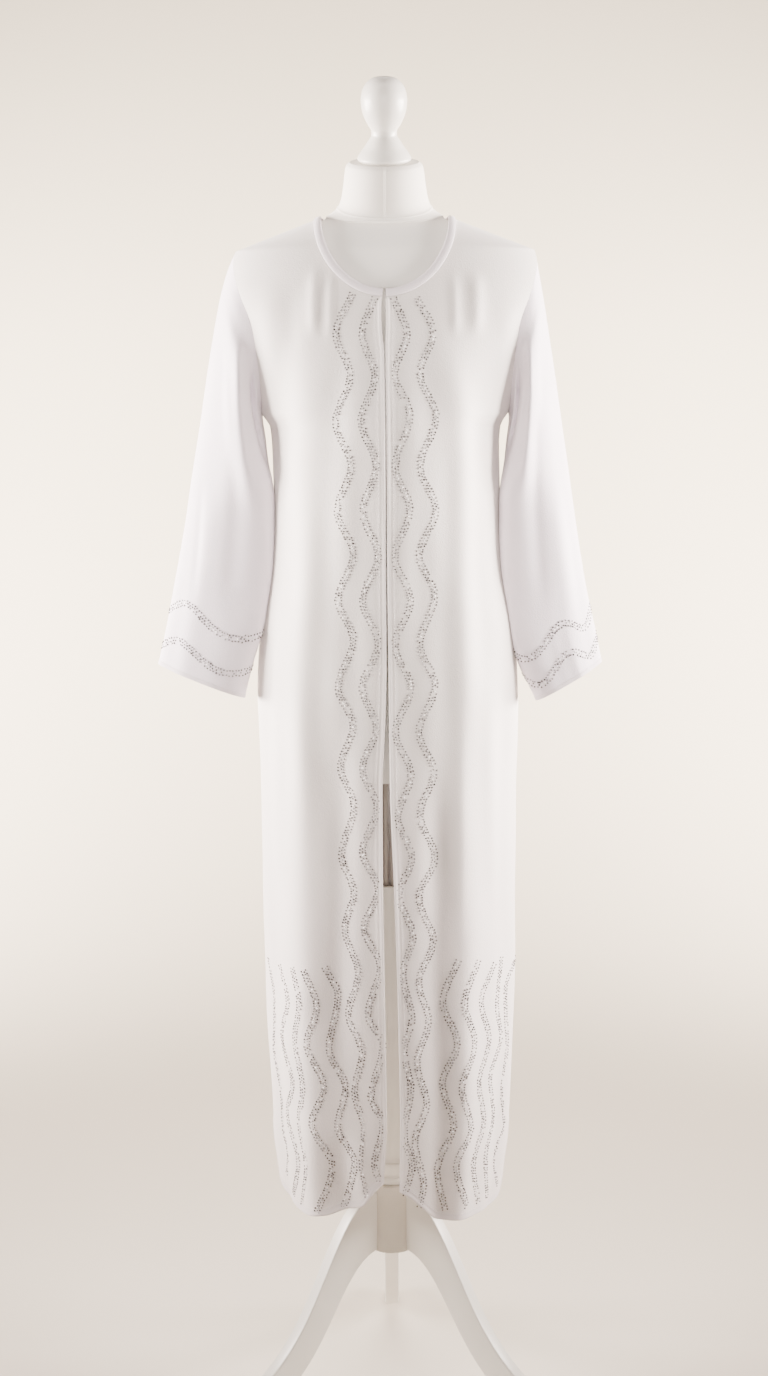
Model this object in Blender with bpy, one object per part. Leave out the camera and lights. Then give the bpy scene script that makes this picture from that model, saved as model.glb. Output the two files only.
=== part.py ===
"""Long open-front abaya on a limbless dress form with a wooden tripod stand.

Lengths are metres. The front faces -Y, left and right are as seen from the front (-X is left).
The model is worked out with the pole's axis on X = Y = 0 and the floor at Z = 0. One empty then
carries everything, so that the origin is the middle of the footprint on the floor.
A point on the cloth or on the form is S(angle, height): a rounded section at each height, with
the angle measured round the pole from centre front (0) by the right side (90) to centre back (180).
"""
import math

import bmesh
import bpy
import numpy as np
from mathutils import Matrix, Vector

# Cloth
WALL = 0.0015            # thickness of one cloth wall
SEAM = 0.0003            # gap between two pieces at a seam
SEAT = 0.0012            # gap between the shoulder seams and the form that carries them
HOLLOW = 0.0030          # how much further the form lies behind the chest and the upper back
UNDERARM_Z = 1.390
SHOULDER_Z = 1.604       # shoulder tip
SHOULDER_X = 0.198
NECK_X = 0.094           # neck point, where the neckline meets the shoulder seam
NECK_Z = 1.6436
NECK_DROP = 0.1046       # neck point down to the neckline at centre front
BACK_NECK_DROP = 0.012
SHOULDER_SLOPE = (NECK_Z - SHOULDER_Z) / (SHOULDER_X - NECK_X)
ARMHOLE_DEPTH = 0.050    # half of the armhole's width, front to back
BINDING = 0.0095         # width of the neck binding
BINDING_RISE = 0.0009    # how far the folded binding stands above the panels
VENT_TOP = 0.405
VENT_ANGLE = 0.9         # degrees that each panel's edge draws back from the side at the vent
VENT_FADE = 0.050        # height over which it does so

# Sections of the hanging cloth below the underarm
BODY_COLUMNS = ("z", "half_width", "front", "back", "power")
BODY = (
    (0.290, 0.1535, 0.1240, 0.1140, 2.30),
    (0.330, 0.1590, 0.1250, 0.1150, 2.30),
    (0.380, 0.1655, 0.1265, 0.1170, 2.30),
    (0.450, 0.1690, 0.1280, 0.1190, 2.30),
    (0.600, 0.1745, 0.1300, 0.1220, 2.30),
    (0.860, 0.1755, 0.1320, 0.1270, 2.30),
    (1.000, 0.1765, 0.1320, 0.1270, 2.30),
    (1.100, 0.1665, 0.1320, 0.1210, 2.20),
    (1.190, 0.1555, 0.1320, 0.1140, 2.15),
    (1.270, 0.1500, 0.1325, 0.1090, 2.10),
    (1.330, 0.1490, 0.1330, 0.1070, 2.05),
    (1.372, 0.1510, 0.1330, 0.1070, 2.00),
    (1.390, 0.1650, 0.1315, 0.1080, 2.00),
)
# Depth of the yoke above the underarm, its width follows the armhole and the shoulder slope
YOKE_COLUMNS = ("z", "front", "back")
YOKE = (
    (1.390, 0.1315, 0.1080),
    (1.420, 0.1240, 0.1095),
    (1.450, 0.1165, 0.1105),
    (1.500, 0.1035, 0.1085),
    (1.550, 0.0925, 0.0995),
    (1.585, 0.0845, 0.0905),
    (1.604, 0.0795, 0.0850),
    (1.617, 0.0735, 0.0800),
    (1.631, 0.0675, 0.0745),
    (1.644, 0.0605, 0.0670),
    (1.652, 0.0570, 0.0625),
)
# The armhole seam as the front shows it
ARMHOLE_COLUMNS = ("z", "x")
ARMHOLE = (
    (1.390, 0.1650),
    (1.410, 0.1660),
    (1.450, 0.1685),
    (1.500, 0.1745),
    (1.517, 0.1795),
    (1.540, 0.1890),
    (1.560, 0.1955),
    (1.588, 0.2000),
    (1.604, 0.1980),
)
# Centre front edges: they part below the binding and again from the hips down
OPENING_COLUMNS = ("z", "left", "right")
OPENING = (
    (0.290, -0.0108, 0.0105),
    (0.350, -0.0104, 0.0107),
    (0.439, -0.0058, 0.0118),
    (0.613, -0.0072, 0.0096),
    (0.768, -0.0088, 0.0058),
    (0.900, -0.0083, 0.0010),
    (0.980, -0.0042, 0.0002),
    (1.070, -0.0012, -0.0004),
    (1.200, -0.0012, -0.0009),
    (1.400, -0.0014, -0.0011),
    (1.475, -0.0017, -0.0012),
    (1.488, -0.0030, -0.0012),
    (1.505, -0.0042, -0.0006),
    (1.528, -0.0040, -0.0006),
    (1.539, -0.0020, -0.0010),
    (1.548, -0.0024, 0.0000),
)
# Height of each front's hem, from its centre front corner (0) to its side corner (1)
FRONT_HEM_COLUMNS = ("share", "left", "right")
FRONT_HEM = (
    (0.00, 0.353, 0.341),
    (0.08, 0.338, 0.330),
    (0.16, 0.318, 0.316),
    (0.28, 0.312, 0.296),
    (0.42, 0.301, 0.294),
    (0.56, 0.297, 0.2935),
    (0.70, 0.299, 0.2925),
    (0.84, 0.305, 0.296),
    (0.94, 0.317, 0.309),
    (1.00, 0.337, 0.331),
)
# Height of the back's hem, from a side corner (0) to centre back (1)
BACK_HEM_COLUMNS = ("share", "z")
BACK_HEM = (
    (0.00, 0.334),
    (0.06, 0.316),
    (0.16, 0.302),
    (0.40, 0.297),
    (1.00, 0.298),
)
# Largest folds of the body, full at the hem: ridges stand out and troughs draw in
FOLD_COLUMNS = ("angle", "width", "depth", "top")
FOLDS = (
    (-47.0, 9.0, 0.0060, 1.52),
    (-27.0, 8.0, -0.0035, 1.05),
    (-70.0, 8.0, -0.0050, 1.18),
    (27.0, 7.0, -0.0045, 0.95),
    (42.0, 8.0, 0.0060, 1.53),
    (66.0, 9.0, -0.0050, 1.10),
    (112.0, 9.0, -0.0060, 1.20),
    (131.0, 9.0, 0.0080, 1.36),
    (152.0, 8.0, -0.0050, 1.10),
    (171.0, 8.0, 0.0060, 1.30),
    (-111.0, 9.0, -0.0060, 1.15),
    (-129.0, 9.0, 0.0075, 1.38),
    (-149.0, 8.0, -0.0055, 1.05),
    (-170.0, 7.0, 0.0055, 1.25),
)
FOLD_FADE = 0.16         # height over which a fold dies away at its top

# Sleeves: outer and inner edge as the front shows them, and the depth round the hollow
SLEEVE_COLUMNS = ("share", "outer_x", "outer_z", "inner_x", "inner_z", "half_depth", "y")
SLEEVE_LEFT = (
    (0.00, 0.1980, 1.604, 0.1650, 1.3900, 0.0500, 0.000),
    (0.08, 0.2095, 1.580, 0.1652, 1.3860, 0.0505, 0.000),
    (0.16, 0.2195, 1.548, 0.1650, 1.3800, 0.0505, -0.001),
    (0.25, 0.2300, 1.505, 0.1640, 1.3680, 0.0500, -0.002),
    (0.35, 0.2405, 1.450, 0.1620, 1.3450, 0.0485, -0.004),
    (0.46, 0.2515, 1.384, 0.1595, 1.3080, 0.0460, -0.007),
    (0.58, 0.2640, 1.313, 0.1590, 1.2550, 0.0425, -0.010),
    (0.70, 0.2765, 1.238, 0.1620, 1.1980, 0.0385, -0.014),
    (0.82, 0.2920, 1.160, 0.1720, 1.1350, 0.0345, -0.018),
    (0.92, 0.3045, 1.100, 0.1840, 1.0700, 0.0310, -0.020),
    (1.00, 0.3153, 1.055, 0.1976, 1.0110, 0.0285, -0.022),
)
SLEEVE_RIGHT = (
    (0.00, 0.1980, 1.604, 0.1650, 1.3900, 0.0500, 0.000),
    (0.08, 0.2040, 1.578, 0.1652, 1.3860, 0.0520, 0.000),
    (0.16, 0.2105, 1.545, 0.1650, 1.3800, 0.0540, -0.001),
    (0.25, 0.2190, 1.500, 0.1640, 1.3680, 0.0550, -0.002),
    (0.35, 0.2280, 1.446, 0.1615, 1.3450, 0.0540, -0.004),
    (0.46, 0.2375, 1.382, 0.1585, 1.3080, 0.0510, -0.007),
    (0.58, 0.2480, 1.312, 0.1575, 1.2550, 0.0460, -0.010),
    (0.70, 0.2590, 1.236, 0.1610, 1.1980, 0.0405, -0.014),
    (0.82, 0.2730, 1.152, 0.1700, 1.1250, 0.0345, -0.018),
    (0.92, 0.2855, 1.096, 0.1810, 1.0580, 0.0310, -0.020),
    (1.00, 0.2939, 1.054, 0.2036, 1.0050, 0.0285, -0.022),
)
# Long sleeve folds: the angle runs round the tube from the outer edge (0) by the front (90)
SLEEVE_FOLD_COLUMNS = ("angle_from", "angle_to", "width", "depth", "share_from", "share_to")
SLEEVE_FOLDS = (
    (72.0, 118.0, 20.0, 0.0050, 0.10, 0.62),
    (112.0, 168.0, 18.0, -0.0060, 0.08, 0.46),
    (150.0, 128.0, 20.0, -0.0045, 0.45, 0.92),
    (60.0, 66.0, 22.0, 0.0040, 0.55, 1.20),
    (285.0, 250.0, 20.0, 0.0055, 0.12, 0.70),
    (235.0, 215.0, 18.0, -0.0055, 0.10, 0.55),
    (300.0, 310.0, 22.0, -0.0040, 0.50, 1.10),
)
SLEEVE_FOLD_FADE = 0.15  # share of the sleeve over which a fold rises and dies away
SLEEVE_BLEND = 0.30      # share of the sleeve over which it leaves the armhole's own shape
UNDERARM_TURN = 60.0     # degrees either side of the underarm where the sleeve turns back to hang down

# Numbers of steps in the cloth grids
HEM_TO_UNDERARM = 17
ROW_CROWDING = 1.25      # above 1 sets the rows closer towards the bust
LOWER_ARMHOLE = 4        # steps of the armhole beside the centre front edge
NECKLINE = 10            # steps of the armhole beside the neckline
ARMHOLE_STEPS = LOWER_ARMHOLE + NECKLINE
FRONT_COLUMNS = 13
SHOULDER_COLUMNS = 5
BACK_NECK_COLUMNS = 8    # from a neck point to centre back
SLEEVE_RINGS = 14
TURN_STEP = 0.3          # degrees either way over which a surface's slope is measured
RISE_STEP = 0.0015       # metres either way, likewise

# Neck binding in section, a low rounded strip from the panels' edge (0) to its own edge (1)
BINDING_COLUMNS = ("across", "rise", "depth")
BINDING_SECTION = (
    (0.02, 0.0, 0.0),
    (0.12, 1.0, 0.0),
    (0.50, 1.4, 0.0),
    (0.90, 1.0, 0.0),
    (1.00, 0.0, 0.0),
    (0.95, 0.0, 1.0),
    (0.02, 0.0, 1.0),
)

# Dress form
FORM_COLUMNS = ("z", "half_width", "front", "back")
FORM = (
    (0.900, 0.1440, 0.0920, 0.1140),
    (0.908, 0.1500, 0.0965, 0.1190),
    (0.950, 0.1570, 0.1000, 0.1230),
    (1.050, 0.1430, 0.0930, 0.1070),
    (1.150, 0.1180, 0.0830, 0.0850),
    (1.250, 0.1240, 0.0960, 0.0840),
    (1.320, 0.1370, 0.1190, 0.0930),
    (1.372, 0.1440, 0.1305, 0.1000),
    (1.440, 0.1510, 0.1165, 0.1070),
    (1.500, 0.1640, 0.1020, 0.1060),
    (1.550, 0.1780, 0.0910, 0.0980),
    (1.585, 0.1870, 0.0830, 0.0890),
    (1.600, 0.1890, 0.0790, 0.0845),
    (1.615, 0.1640, 0.0720, 0.0780),
    (1.630, 0.1270, 0.0660, 0.0720),
    (1.643, 0.0910, 0.0590, 0.0640),
    (1.652, 0.0725, 0.0550, 0.0590),
    (1.660, 0.0630, 0.0530, 0.0560),
    (1.670, 0.0580, 0.0520, 0.0540),
    (1.688, 0.0545, 0.0500, 0.0515),
    (1.706, 0.0522, 0.0480, 0.0495),
    (1.715, 0.0500, 0.0458, 0.0475),
    (1.719, 0.0455, 0.0412, 0.0428),
)
NECK_PIVOT_Z = 1.648     # the neck leans forward from here
NECK_LEAN = math.radians(16.0)
NECK_LEAN_REACH = 0.022
NECK_FREE_Z = 1.6496     # above this the form's neck stands free of the cloth
NECK_KNOTS = 6           # rows at the top of the table that need no row between them
FORM_SEGMENTS = 28

# Turned finial: distance along its axis, radius
FINIAL_COLUMNS = ("along", "radius")
FINIAL = (
    (0.0000, 0.0325),
    (0.0020, 0.0348),
    (0.0045, 0.0353),
    (0.0075, 0.0342),
    (0.0124, 0.0312),
    (0.0180, 0.0268),
    (0.0252, 0.0222),
    (0.0302, 0.0188),
    (0.0345, 0.0166),
    (0.0395, 0.0169),
    (0.0466, 0.0210),
    (0.0540, 0.0247),
    (0.0611, 0.0276),
    (0.0700, 0.0296),
    (0.0782, 0.0302),
    (0.0880, 0.0288),
    (0.0967, 0.0250),
    (0.1037, 0.0180),
    (0.1068, 0.0105),
)
FINIAL_TOP = 0.1079
FINIAL_SEGMENTS = 22

# Stand
POST_RADIUS = 0.0140
POST_SLOT = (0.0034, 0.0030)    # width and depth of the slot for the height pin
POST_SEGMENTS = 22
POLE_TOP = 0.740
POLE_COLUMNS = ("z", "radius")
POLE = (
    (0.3076, 0.0265),
    (0.3100, 0.0275),
    (0.3180, 0.0275),
    (0.3205, 0.0262),
    (0.3225, 0.0262),
    (0.3250, 0.0275),
    (0.3380, 0.0275),
    (0.3405, 0.0258),
    (0.3430, 0.0225),
    (0.3500, 0.0210),
    (0.7370, 0.0210),
    (0.7400, 0.0195),
)
POLE_SEGMENTS = 20
HUB_RADIUS = 0.0320
HUB_BOTTOM = 0.2080
HUB_TOP = 0.3073
HUB_ROUND = 0.0022
HUB_ARC = 9              # points from one leg's flat to the next
LEG_THICKNESS = 0.022
LEG_EASE = 0.0025        # rounding of the leg's sawn edges
LEG_TOP_CURVE = ((0.120, 0.270), (0.120, 0.050))    # handles of the upper edge, radius and height
LEG_UNDER_CURVE = ((0.100, 0.190), (0.110, 0.030))
LEG_HEAD = (0.298, 0.2105)      # top and bottom of the leg where it meets the hub
LEG_TOE = (0.286, 0.026)        # end of the upper edge
LEG_NOSE = (0.288, 0.017)       # furthest point of the blunt toe
LEG_SOLE = (0.236, 0.278)       # inner and outer end of the flat sole
LEG_CURVE_POINTS = 13
LEG_BEARINGS = {"leg_back": 180.0, "leg_left": -60.0, "leg_right": 60.0}
GLIDE_RADIUS = 0.0075
GLIDE_HEIGHT = 0.0075
GLIDE_ROUND = 0.0010
GLIDE_AT = 0.262
GLIDE_SEGMENTS = 14
SMOOTH_BELOW = math.radians(40) # faces that meet at less than this are shaded as one
SAME_PLACE = 1e-5               # places closer than this are one place


def column(rows, names, name):
    """One named column of a table."""
    return np.array([row[names.index(name)] for row in rows], float)


def read(rows, names, name, at):
    """A column as a smooth curve over the table's first column, which never overshoots its rows."""
    xs = column(rows, names, names[0])
    ys = column(rows, names, name)
    steps = np.diff(xs)
    rates = np.diff(ys) / steps
    before, after = rates[:-1], rates[1:]
    heavy, light = 2 * steps[1:] + steps[:-1], steps[1:] + 2 * steps[:-1]
    rising = before * after > 0
    mean = (heavy + light) / (heavy / np.where(rising, before, 1) + light / np.where(rising, after, 1))
    slopes = np.concatenate([rates[:1], np.where(rising, mean, 0), rates[-1:]])
    at = np.clip(np.asarray(at, float), xs[0], xs[-1])
    i = np.clip(np.searchsorted(xs, at) - 1, 0, len(xs) - 2)
    step = xs[i + 1] - xs[i]
    u = (at - xs[i]) / step
    start = (1 + 2 * u) * (1 - u) ** 2 * ys[i] + u * (1 - u) ** 2 * step * slopes[i]
    end = u * u * (3 - 2 * u) * ys[i + 1] + u * u * (u - 1) * step * slopes[i + 1]
    return start + end


def ease(x):
    """Smooth rise from 0 to 1."""
    x = np.clip(x, 0.0, 1.0)
    return x * x * (3 - 2 * x)


def section_point(angle, half_width, front, back, power):
    """Point of a rounded section in plan: a superellipse with its own depth in front and behind."""
    side = np.sin(np.radians(angle))
    ahead = np.cos(np.radians(angle))
    depth = np.where(ahead > 0, front, back)
    reach = ((np.abs(side) / half_width) ** power + (np.abs(ahead) / depth) ** power) ** (-1 / power)
    return reach * side, -reach * ahead


def armhole_depth(z):
    """Half depth of the armhole at a height: an ellipse from underarm to shoulder tip."""
    middle = (SHOULDER_Z + UNDERARM_Z) / 2
    half = (SHOULDER_Z - UNDERARM_Z) / 2
    return ARMHOLE_DEPTH * np.sqrt(np.clip(1 - ((z - middle) / half) ** 2, 0, 1))


def cloth_section(z):
    """Half width, front, back and power of the cloth's section, from hem to neck."""
    z = np.asarray(z, float)
    below = z < UNDERARM_Z
    half_width, front, back, power = (read(BODY, BODY_COLUMNS, name, z) for name in BODY_COLUMNS[1:])
    front = np.where(below, front, read(YOKE, YOKE_COLUMNS, "front", z))
    back = np.where(below, back, read(YOKE, YOKE_COLUMNS, "back", z))
    armhole = read(ARMHOLE, ARMHOLE_COLUMNS, "x", z) / np.sqrt(1 - (armhole_depth(z) / front) ** 2)
    shoulder = NECK_X + (NECK_Z - z) / SHOULDER_SLOPE
    half_width = np.where(below, half_width, np.where(z < SHOULDER_Z, armhole, shoulder))
    return half_width, front, back, power


def smooth_cloth(angle, z):
    """Cloth surface without folds."""
    x, y = section_point(angle, *cloth_section(z))
    return np.stack([x, y, z + 0 * x], -1)


def normals(surface, angle, z):
    """Outward unit normals of a surface of angle and height, from small steps either way."""
    turn = surface(angle + TURN_STEP, z) - surface(angle - TURN_STEP, z)
    rise = surface(angle, z + RISE_STEP) - surface(angle, z - RISE_STEP)
    across = np.cross(turn, rise)
    return across / np.linalg.norm(across, axis=-1, keepdims=True)


def fold_height(angle, z):
    """Sum of the folds at a point: each a soft bump across, dying away at its top."""
    total = np.zeros(np.broadcast(angle, z).shape)
    for row in FOLDS:
        fold = dict(zip(FOLD_COLUMNS, row))
        away = (np.asarray(angle) - fold["angle"] + 180) % 360 - 180
        along = ease((fold["top"] - z) / FOLD_FADE)
        total = total + fold["depth"] * np.exp(-(away / fold["width"]) ** 2) * along
    return total


def cloth(angle, z):
    """Cloth surface with its folds, the outer face of every panel."""
    base = smooth_cloth(angle, z)
    return base + normals(smooth_cloth, angle, z) * fold_height(angle, z)[..., None]


def angle_at(x, z):
    """Angle of the front surface point that lies at x on the section at height z."""
    half_width, front, _, power = cloth_section(z)
    share = np.clip(np.abs(x) / half_width, 0, 1)
    depth = front * (1 - share ** power) ** (1 / power)
    return np.degrees(np.arctan2(x, depth))


def coons(bottom, top, left, right):
    """Grid that fits four boundary curves of (angle, height) and blends them in between."""
    rows, columns = len(left), len(bottom)
    v = np.linspace(0, 1, rows)[:, None, None]
    u = np.linspace(0, 1, columns)[None, :, None]
    ruled = (1 - v) * bottom[None] + v * top[None] + (1 - u) * left[:, None] + u * right[:, None]
    corners = ((1 - u) * (1 - v) * bottom[0] + u * (1 - v) * bottom[-1]
               + (1 - u) * v * top[0] + u * v * top[-1])
    return ruled - corners


def armhole_turns():
    """Angles round the armhole from the underarm (180) up to the shoulder tip (0)."""
    return np.linspace(180.0, 0.0, ARMHOLE_STEPS + 1)


def armhole_heights():
    """Heights of the armhole's points, the same for front, back and sleeve."""
    middle = (SHOULDER_Z + UNDERARM_Z) / 2
    half = (SHOULDER_Z - UNDERARM_Z) / 2
    return middle + half * np.cos(np.radians(armhole_turns()))


def spread(low, high):
    """Heights from the hem up to the underarm, closer together towards the bust."""
    share = np.linspace(1, 0, HEM_TO_UNDERARM + 1)
    return high - (high - low) * share ** ROW_CROWDING


def side_edge(hem_z, behind):
    """Side seam and armhole of a panel as (angle, height), on the right of the body."""
    seam_z = spread(hem_z, UNDERARM_Z)
    draw_back = VENT_ANGLE * ease((VENT_TOP - seam_z) / VENT_FADE)
    seam = np.stack([90.0 + (draw_back if behind else -draw_back), seam_z], -1)
    z = armhole_heights()[1:]
    x = read(ARMHOLE, ARMHOLE_COLUMNS, "x", z)
    half_width, front, back, _ = cloth_section(z)
    share = np.clip(1 - (x / half_width) ** 2, 0, 1)
    depth = (back if behind else front) * np.sqrt(share)
    depth[-1] = 0.0
    angle = np.degrees(np.arctan2(x, -depth if behind else depth))
    return np.concatenate([seam, np.stack([angle, z], -1)])


def front_neckline(width, drop, z_top):
    """A quarter ellipse from centre front up to the neck point, as (x, height).

    Its points are spaced by their distance along the cloth, closer together towards the shoulder.
    """
    turn = np.radians(np.linspace(0, 90, 400))
    x, z = NECK_X * np.sin(turn), NECK_Z - NECK_DROP * np.cos(turn)
    points = smooth_cloth(angle_at(x, z), z)
    length = np.concatenate([[0], np.cumsum(np.linalg.norm(np.diff(points, axis=0), axis=1))])
    share = 1 - np.linspace(1, 0, NECKLINE + 1) ** ROW_CROWDING
    turn = np.interp(share * length[-1], length, turn)
    return width * np.sin(turn), z_top - drop * np.cos(turn)


def front_grid(side):
    """Grid of (angle, height) for one front panel, side is left or right, worked out on the right."""
    hand = -1 if side == "left" else 1
    share = np.linspace(0, 1, FRONT_COLUMNS + 1)
    hem_z = read(FRONT_HEM, FRONT_HEM_COLUMNS, side, share)
    upper_z = np.linspace(UNDERARM_Z, NECK_Z - NECK_DROP, LOWER_ARMHOLE + 1)
    edge_z = np.concatenate([spread(hem_z[0], UNDERARM_Z), upper_z[1:]])
    edge_x = hand * read(OPENING, OPENING_COLUMNS, side, edge_z)
    neck_x, neck_z = front_neckline(NECK_X, NECK_DROP, NECK_Z)
    inner_x = np.concatenate([edge_x, np.maximum(neck_x[1:], edge_x[-1])])
    inner_z = np.concatenate([edge_z, neck_z[1:]])
    inner = np.stack([angle_at(inner_x, inner_z), inner_z], -1)
    inner[-1, 0] = 90.0
    outer = side_edge(hem_z[-1], behind=False)
    hem = np.stack([inner[0, 0] + share * (outer[0, 0] - inner[0, 0]), hem_z], -1)
    shoulder = np.stack([np.full_like(share, 90.0), NECK_Z + share * (SHOULDER_Z - NECK_Z)], -1)
    return coons(hem, shoulder, inner, outer)


def back_neckline(rise):
    """Back neckline as (angle, height) from a neck point to centre back."""
    share = np.linspace(0, 1, BACK_NECK_COLUMNS + 1)
    z = NECK_Z + rise - BACK_NECK_DROP * np.sin(share * math.pi / 2) ** 2
    return np.stack([90 + 90 * share, z], -1)


def back_grid():
    """Grid of (angle, height) for the back, from the right side (90) round to the left (270)."""
    half_columns = SHOULDER_COLUMNS + BACK_NECK_COLUMNS
    share = np.linspace(0, 1, half_columns + 1)
    hem_z = read(BACK_HEM, BACK_HEM_COLUMNS, "z", share)
    edge = side_edge(hem_z[0], behind=True)
    mirrored = np.stack([360 - edge[:, 0], edge[:, 1]], -1)
    half_hem = np.stack([edge[0, 0] + share * (180 - edge[0, 0]), hem_z], -1)
    rise = np.linspace(0, 1, SHOULDER_COLUMNS + 1)[:-1]
    shoulder = np.stack([np.full_like(rise, 90.0), SHOULDER_Z + rise * (NECK_Z - SHOULDER_Z)], -1)
    half_top = np.concatenate([shoulder, back_neckline(0)])

    def whole(half):
        other = half[-2::-1] * (-1, 1) + (360, 0)
        return np.concatenate([half, other])

    return coons(whole(half_hem), whole(half_top), edge, mirrored)


def mesh_object(name, points, faces, material):
    """New object from points and faces, smooth shaded up to a sharp edge."""
    mesh = bpy.data.meshes.new(name)
    mesh.from_pydata([tuple(p) for p in np.asarray(points).reshape(-1, 3)], [], faces)
    mesh.materials.append(material)
    mesh.shade_smooth()
    mesh.set_sharp_from_angle(angle=SMOOTH_BELOW)
    mesh.update()
    thing = bpy.data.objects.new(name, mesh)
    bpy.context.scene.collection.objects.link(thing)
    return thing


def grid_faces(rows, columns, closed, start=0):
    """Quads of a grid, right-handed when the columns run anticlockwise seen from outside."""
    faces = []
    for i in range(rows - 1):
        for j in range(columns if closed else columns - 1):
            k = (j + 1) % columns
            faces.append((start + i * columns + j, start + i * columns + k,
                          start + (i + 1) * columns + k, start + (i + 1) * columns + j))
    return faces


def wall_object(name, outer, inner, closed, material):
    """Cloth wall: outer and inner grid joined round their open edges."""
    rows, columns = outer.shape[:2]
    half = rows * columns
    faces = grid_faces(rows, columns, closed)
    faces += [tuple(half + i for i in reversed(face)) for face in grid_faces(rows, columns, closed)]
    low = list(range(columns))
    high = [(rows - 1) * columns + j for j in range(columns)]
    if closed:
        rims = [low + [0], [high[0]] + high[::-1]]
    else:
        left = [i * columns for i in range(rows)]
        right = [i * columns + columns - 1 for i in range(rows)]
        rims = [low + right[1:] + high[-2::-1] + left[-2::-1]]
    for rim in rims:
        faces += [(b, a, half + a, half + b) for a, b in zip(rim[:-1], rim[1:])]
    return mesh_object(name, np.concatenate([outer.reshape(-1, 3), inner.reshape(-1, 3)]), faces, material)


def solid_object(name, rings, material):
    """Closed solid through rings of points, with a flat face over each end."""
    rows, columns = rings.shape[:2]
    faces = grid_faces(rows, columns, True)
    faces.append(tuple(range(columns))[::-1])
    faces.append(tuple((rows - 1) * columns + j for j in range(columns)))
    return mesh_object(name, rings, faces, material)


def finish_material(name, colour, roughness, metallic=0.0):
    """Principled material from an sRGB hex colour."""
    channels = [int(colour[i:i + 2], 16) / 255 for i in (1, 3, 5)]
    linear = [c / 12.92 if c <= 0.04045 else ((c + 0.055) / 1.055) ** 2.4 for c in channels]
    material = bpy.data.materials.new(name)
    material.use_nodes = True
    shader = material.node_tree.nodes["Principled BSDF"]
    shader.inputs["Base Color"].default_value = (*linear, 1.0)
    shader.inputs["Roughness"].default_value = roughness
    shader.inputs["Metallic"].default_value = metallic
    material.diffuse_color = (*linear, 1.0)
    return material


def panel_object(name, grid, hand, material):
    """Front or back panel: its grid on the cloth surface, with the wall inside it."""
    angle, z = hand * grid[..., 0], grid[..., 1]
    outer = cloth(angle, z)
    inner = outer - normals(cloth, angle, z) * WALL
    toward = SEAM / 2 if name == "back" else -SEAM / 2
    outer[..., 1] += toward
    inner[..., 1] += toward
    if hand < 0:
        outer, inner = outer[:, ::-1], inner[:, ::-1]
    return wall_object(name, outer, inner, False, material)


def build_panels(material):
    """Two fronts and the back."""
    panel_object("front_left", front_grid("left"), -1, material)
    panel_object("front_right", front_grid("right"), 1, material)
    panel_object("back", back_grid(), 1, material)


def armhole_loop(hand):
    """Armhole seam as a closed loop of points and normals, from the shoulder tip round the front."""
    hem_z = BACK_HEM[0][1]
    front = side_edge(hem_z, behind=False)[HEM_TO_UNDERARM:][::-1]
    back = side_edge(hem_z, behind=True)[HEM_TO_UNDERARM:][1:-1]
    path = np.concatenate([front, back])
    angle, z = hand * path[:, 0], path[:, 1]
    points, facing = cloth(angle, z), normals(cloth, angle, z)
    points[1:ARMHOLE_STEPS, 1] -= SEAM / 2
    points[ARMHOLE_STEPS + 1:, 1] += SEAM / 2
    return points, facing


def sleeve_surface(table, hand, share, turn):
    """Sleeve tube: an oval round the line between its outer and inner edge, with long folds."""
    _, outer_x, outer_z, inner_x, inner_z, half_depth, y = (
        read(table, SLEEVE_COLUMNS, name, share) for name in SLEEVE_COLUMNS)
    middle = np.stack([hand * (outer_x + inner_x) / 2, y, (outer_z + inner_z) / 2], -1)
    across, ahead = np.cos(np.radians(turn)), np.sin(np.radians(turn))
    outward = np.stack([hand * (outer_x - inner_x) / 2 * across, -half_depth * ahead,
                        (outer_z - inner_z) / 2 * across], -1)
    height = np.zeros(outward.shape[:-1])
    for row in SLEEVE_FOLDS:
        fold = dict(zip(SLEEVE_FOLD_COLUMNS, row))
        share_from, share_to = fold["share_from"], fold["share_to"]
        along = np.clip((share - share_from) / (share_to - share_from), 0, 1)
        centre = fold["angle_from"] + (fold["angle_to"] - fold["angle_from"]) * along
        away = (turn - centre + 180) % 360 - 180
        fade = ease((share - share_from) / SLEEVE_FOLD_FADE) * ease((share_to - share) / SLEEVE_FOLD_FADE)
        height = height + fold["depth"] * np.exp(-(away / fold["width"]) ** 2) * fade
    reach = np.linalg.norm(outward, axis=-1, keepdims=True)
    return middle + outward * (1 + height[..., None] / reach)


def sleeve_normals(table, hand, share, turn):
    """Outward unit normals of the sleeve tube."""
    ahead = sleeve_surface(table, hand, share, turn + TURN_STEP)
    behind = sleeve_surface(table, hand, share, turn - TURN_STEP)
    below = sleeve_surface(table, hand, np.clip(share + RISE_STEP, 0, 1), turn)
    above = sleeve_surface(table, hand, np.clip(share - RISE_STEP, 0, 1), turn)
    across = np.cross(ahead - behind, below - above) * hand
    return across / np.linalg.norm(across, axis=-1, keepdims=True)


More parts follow.
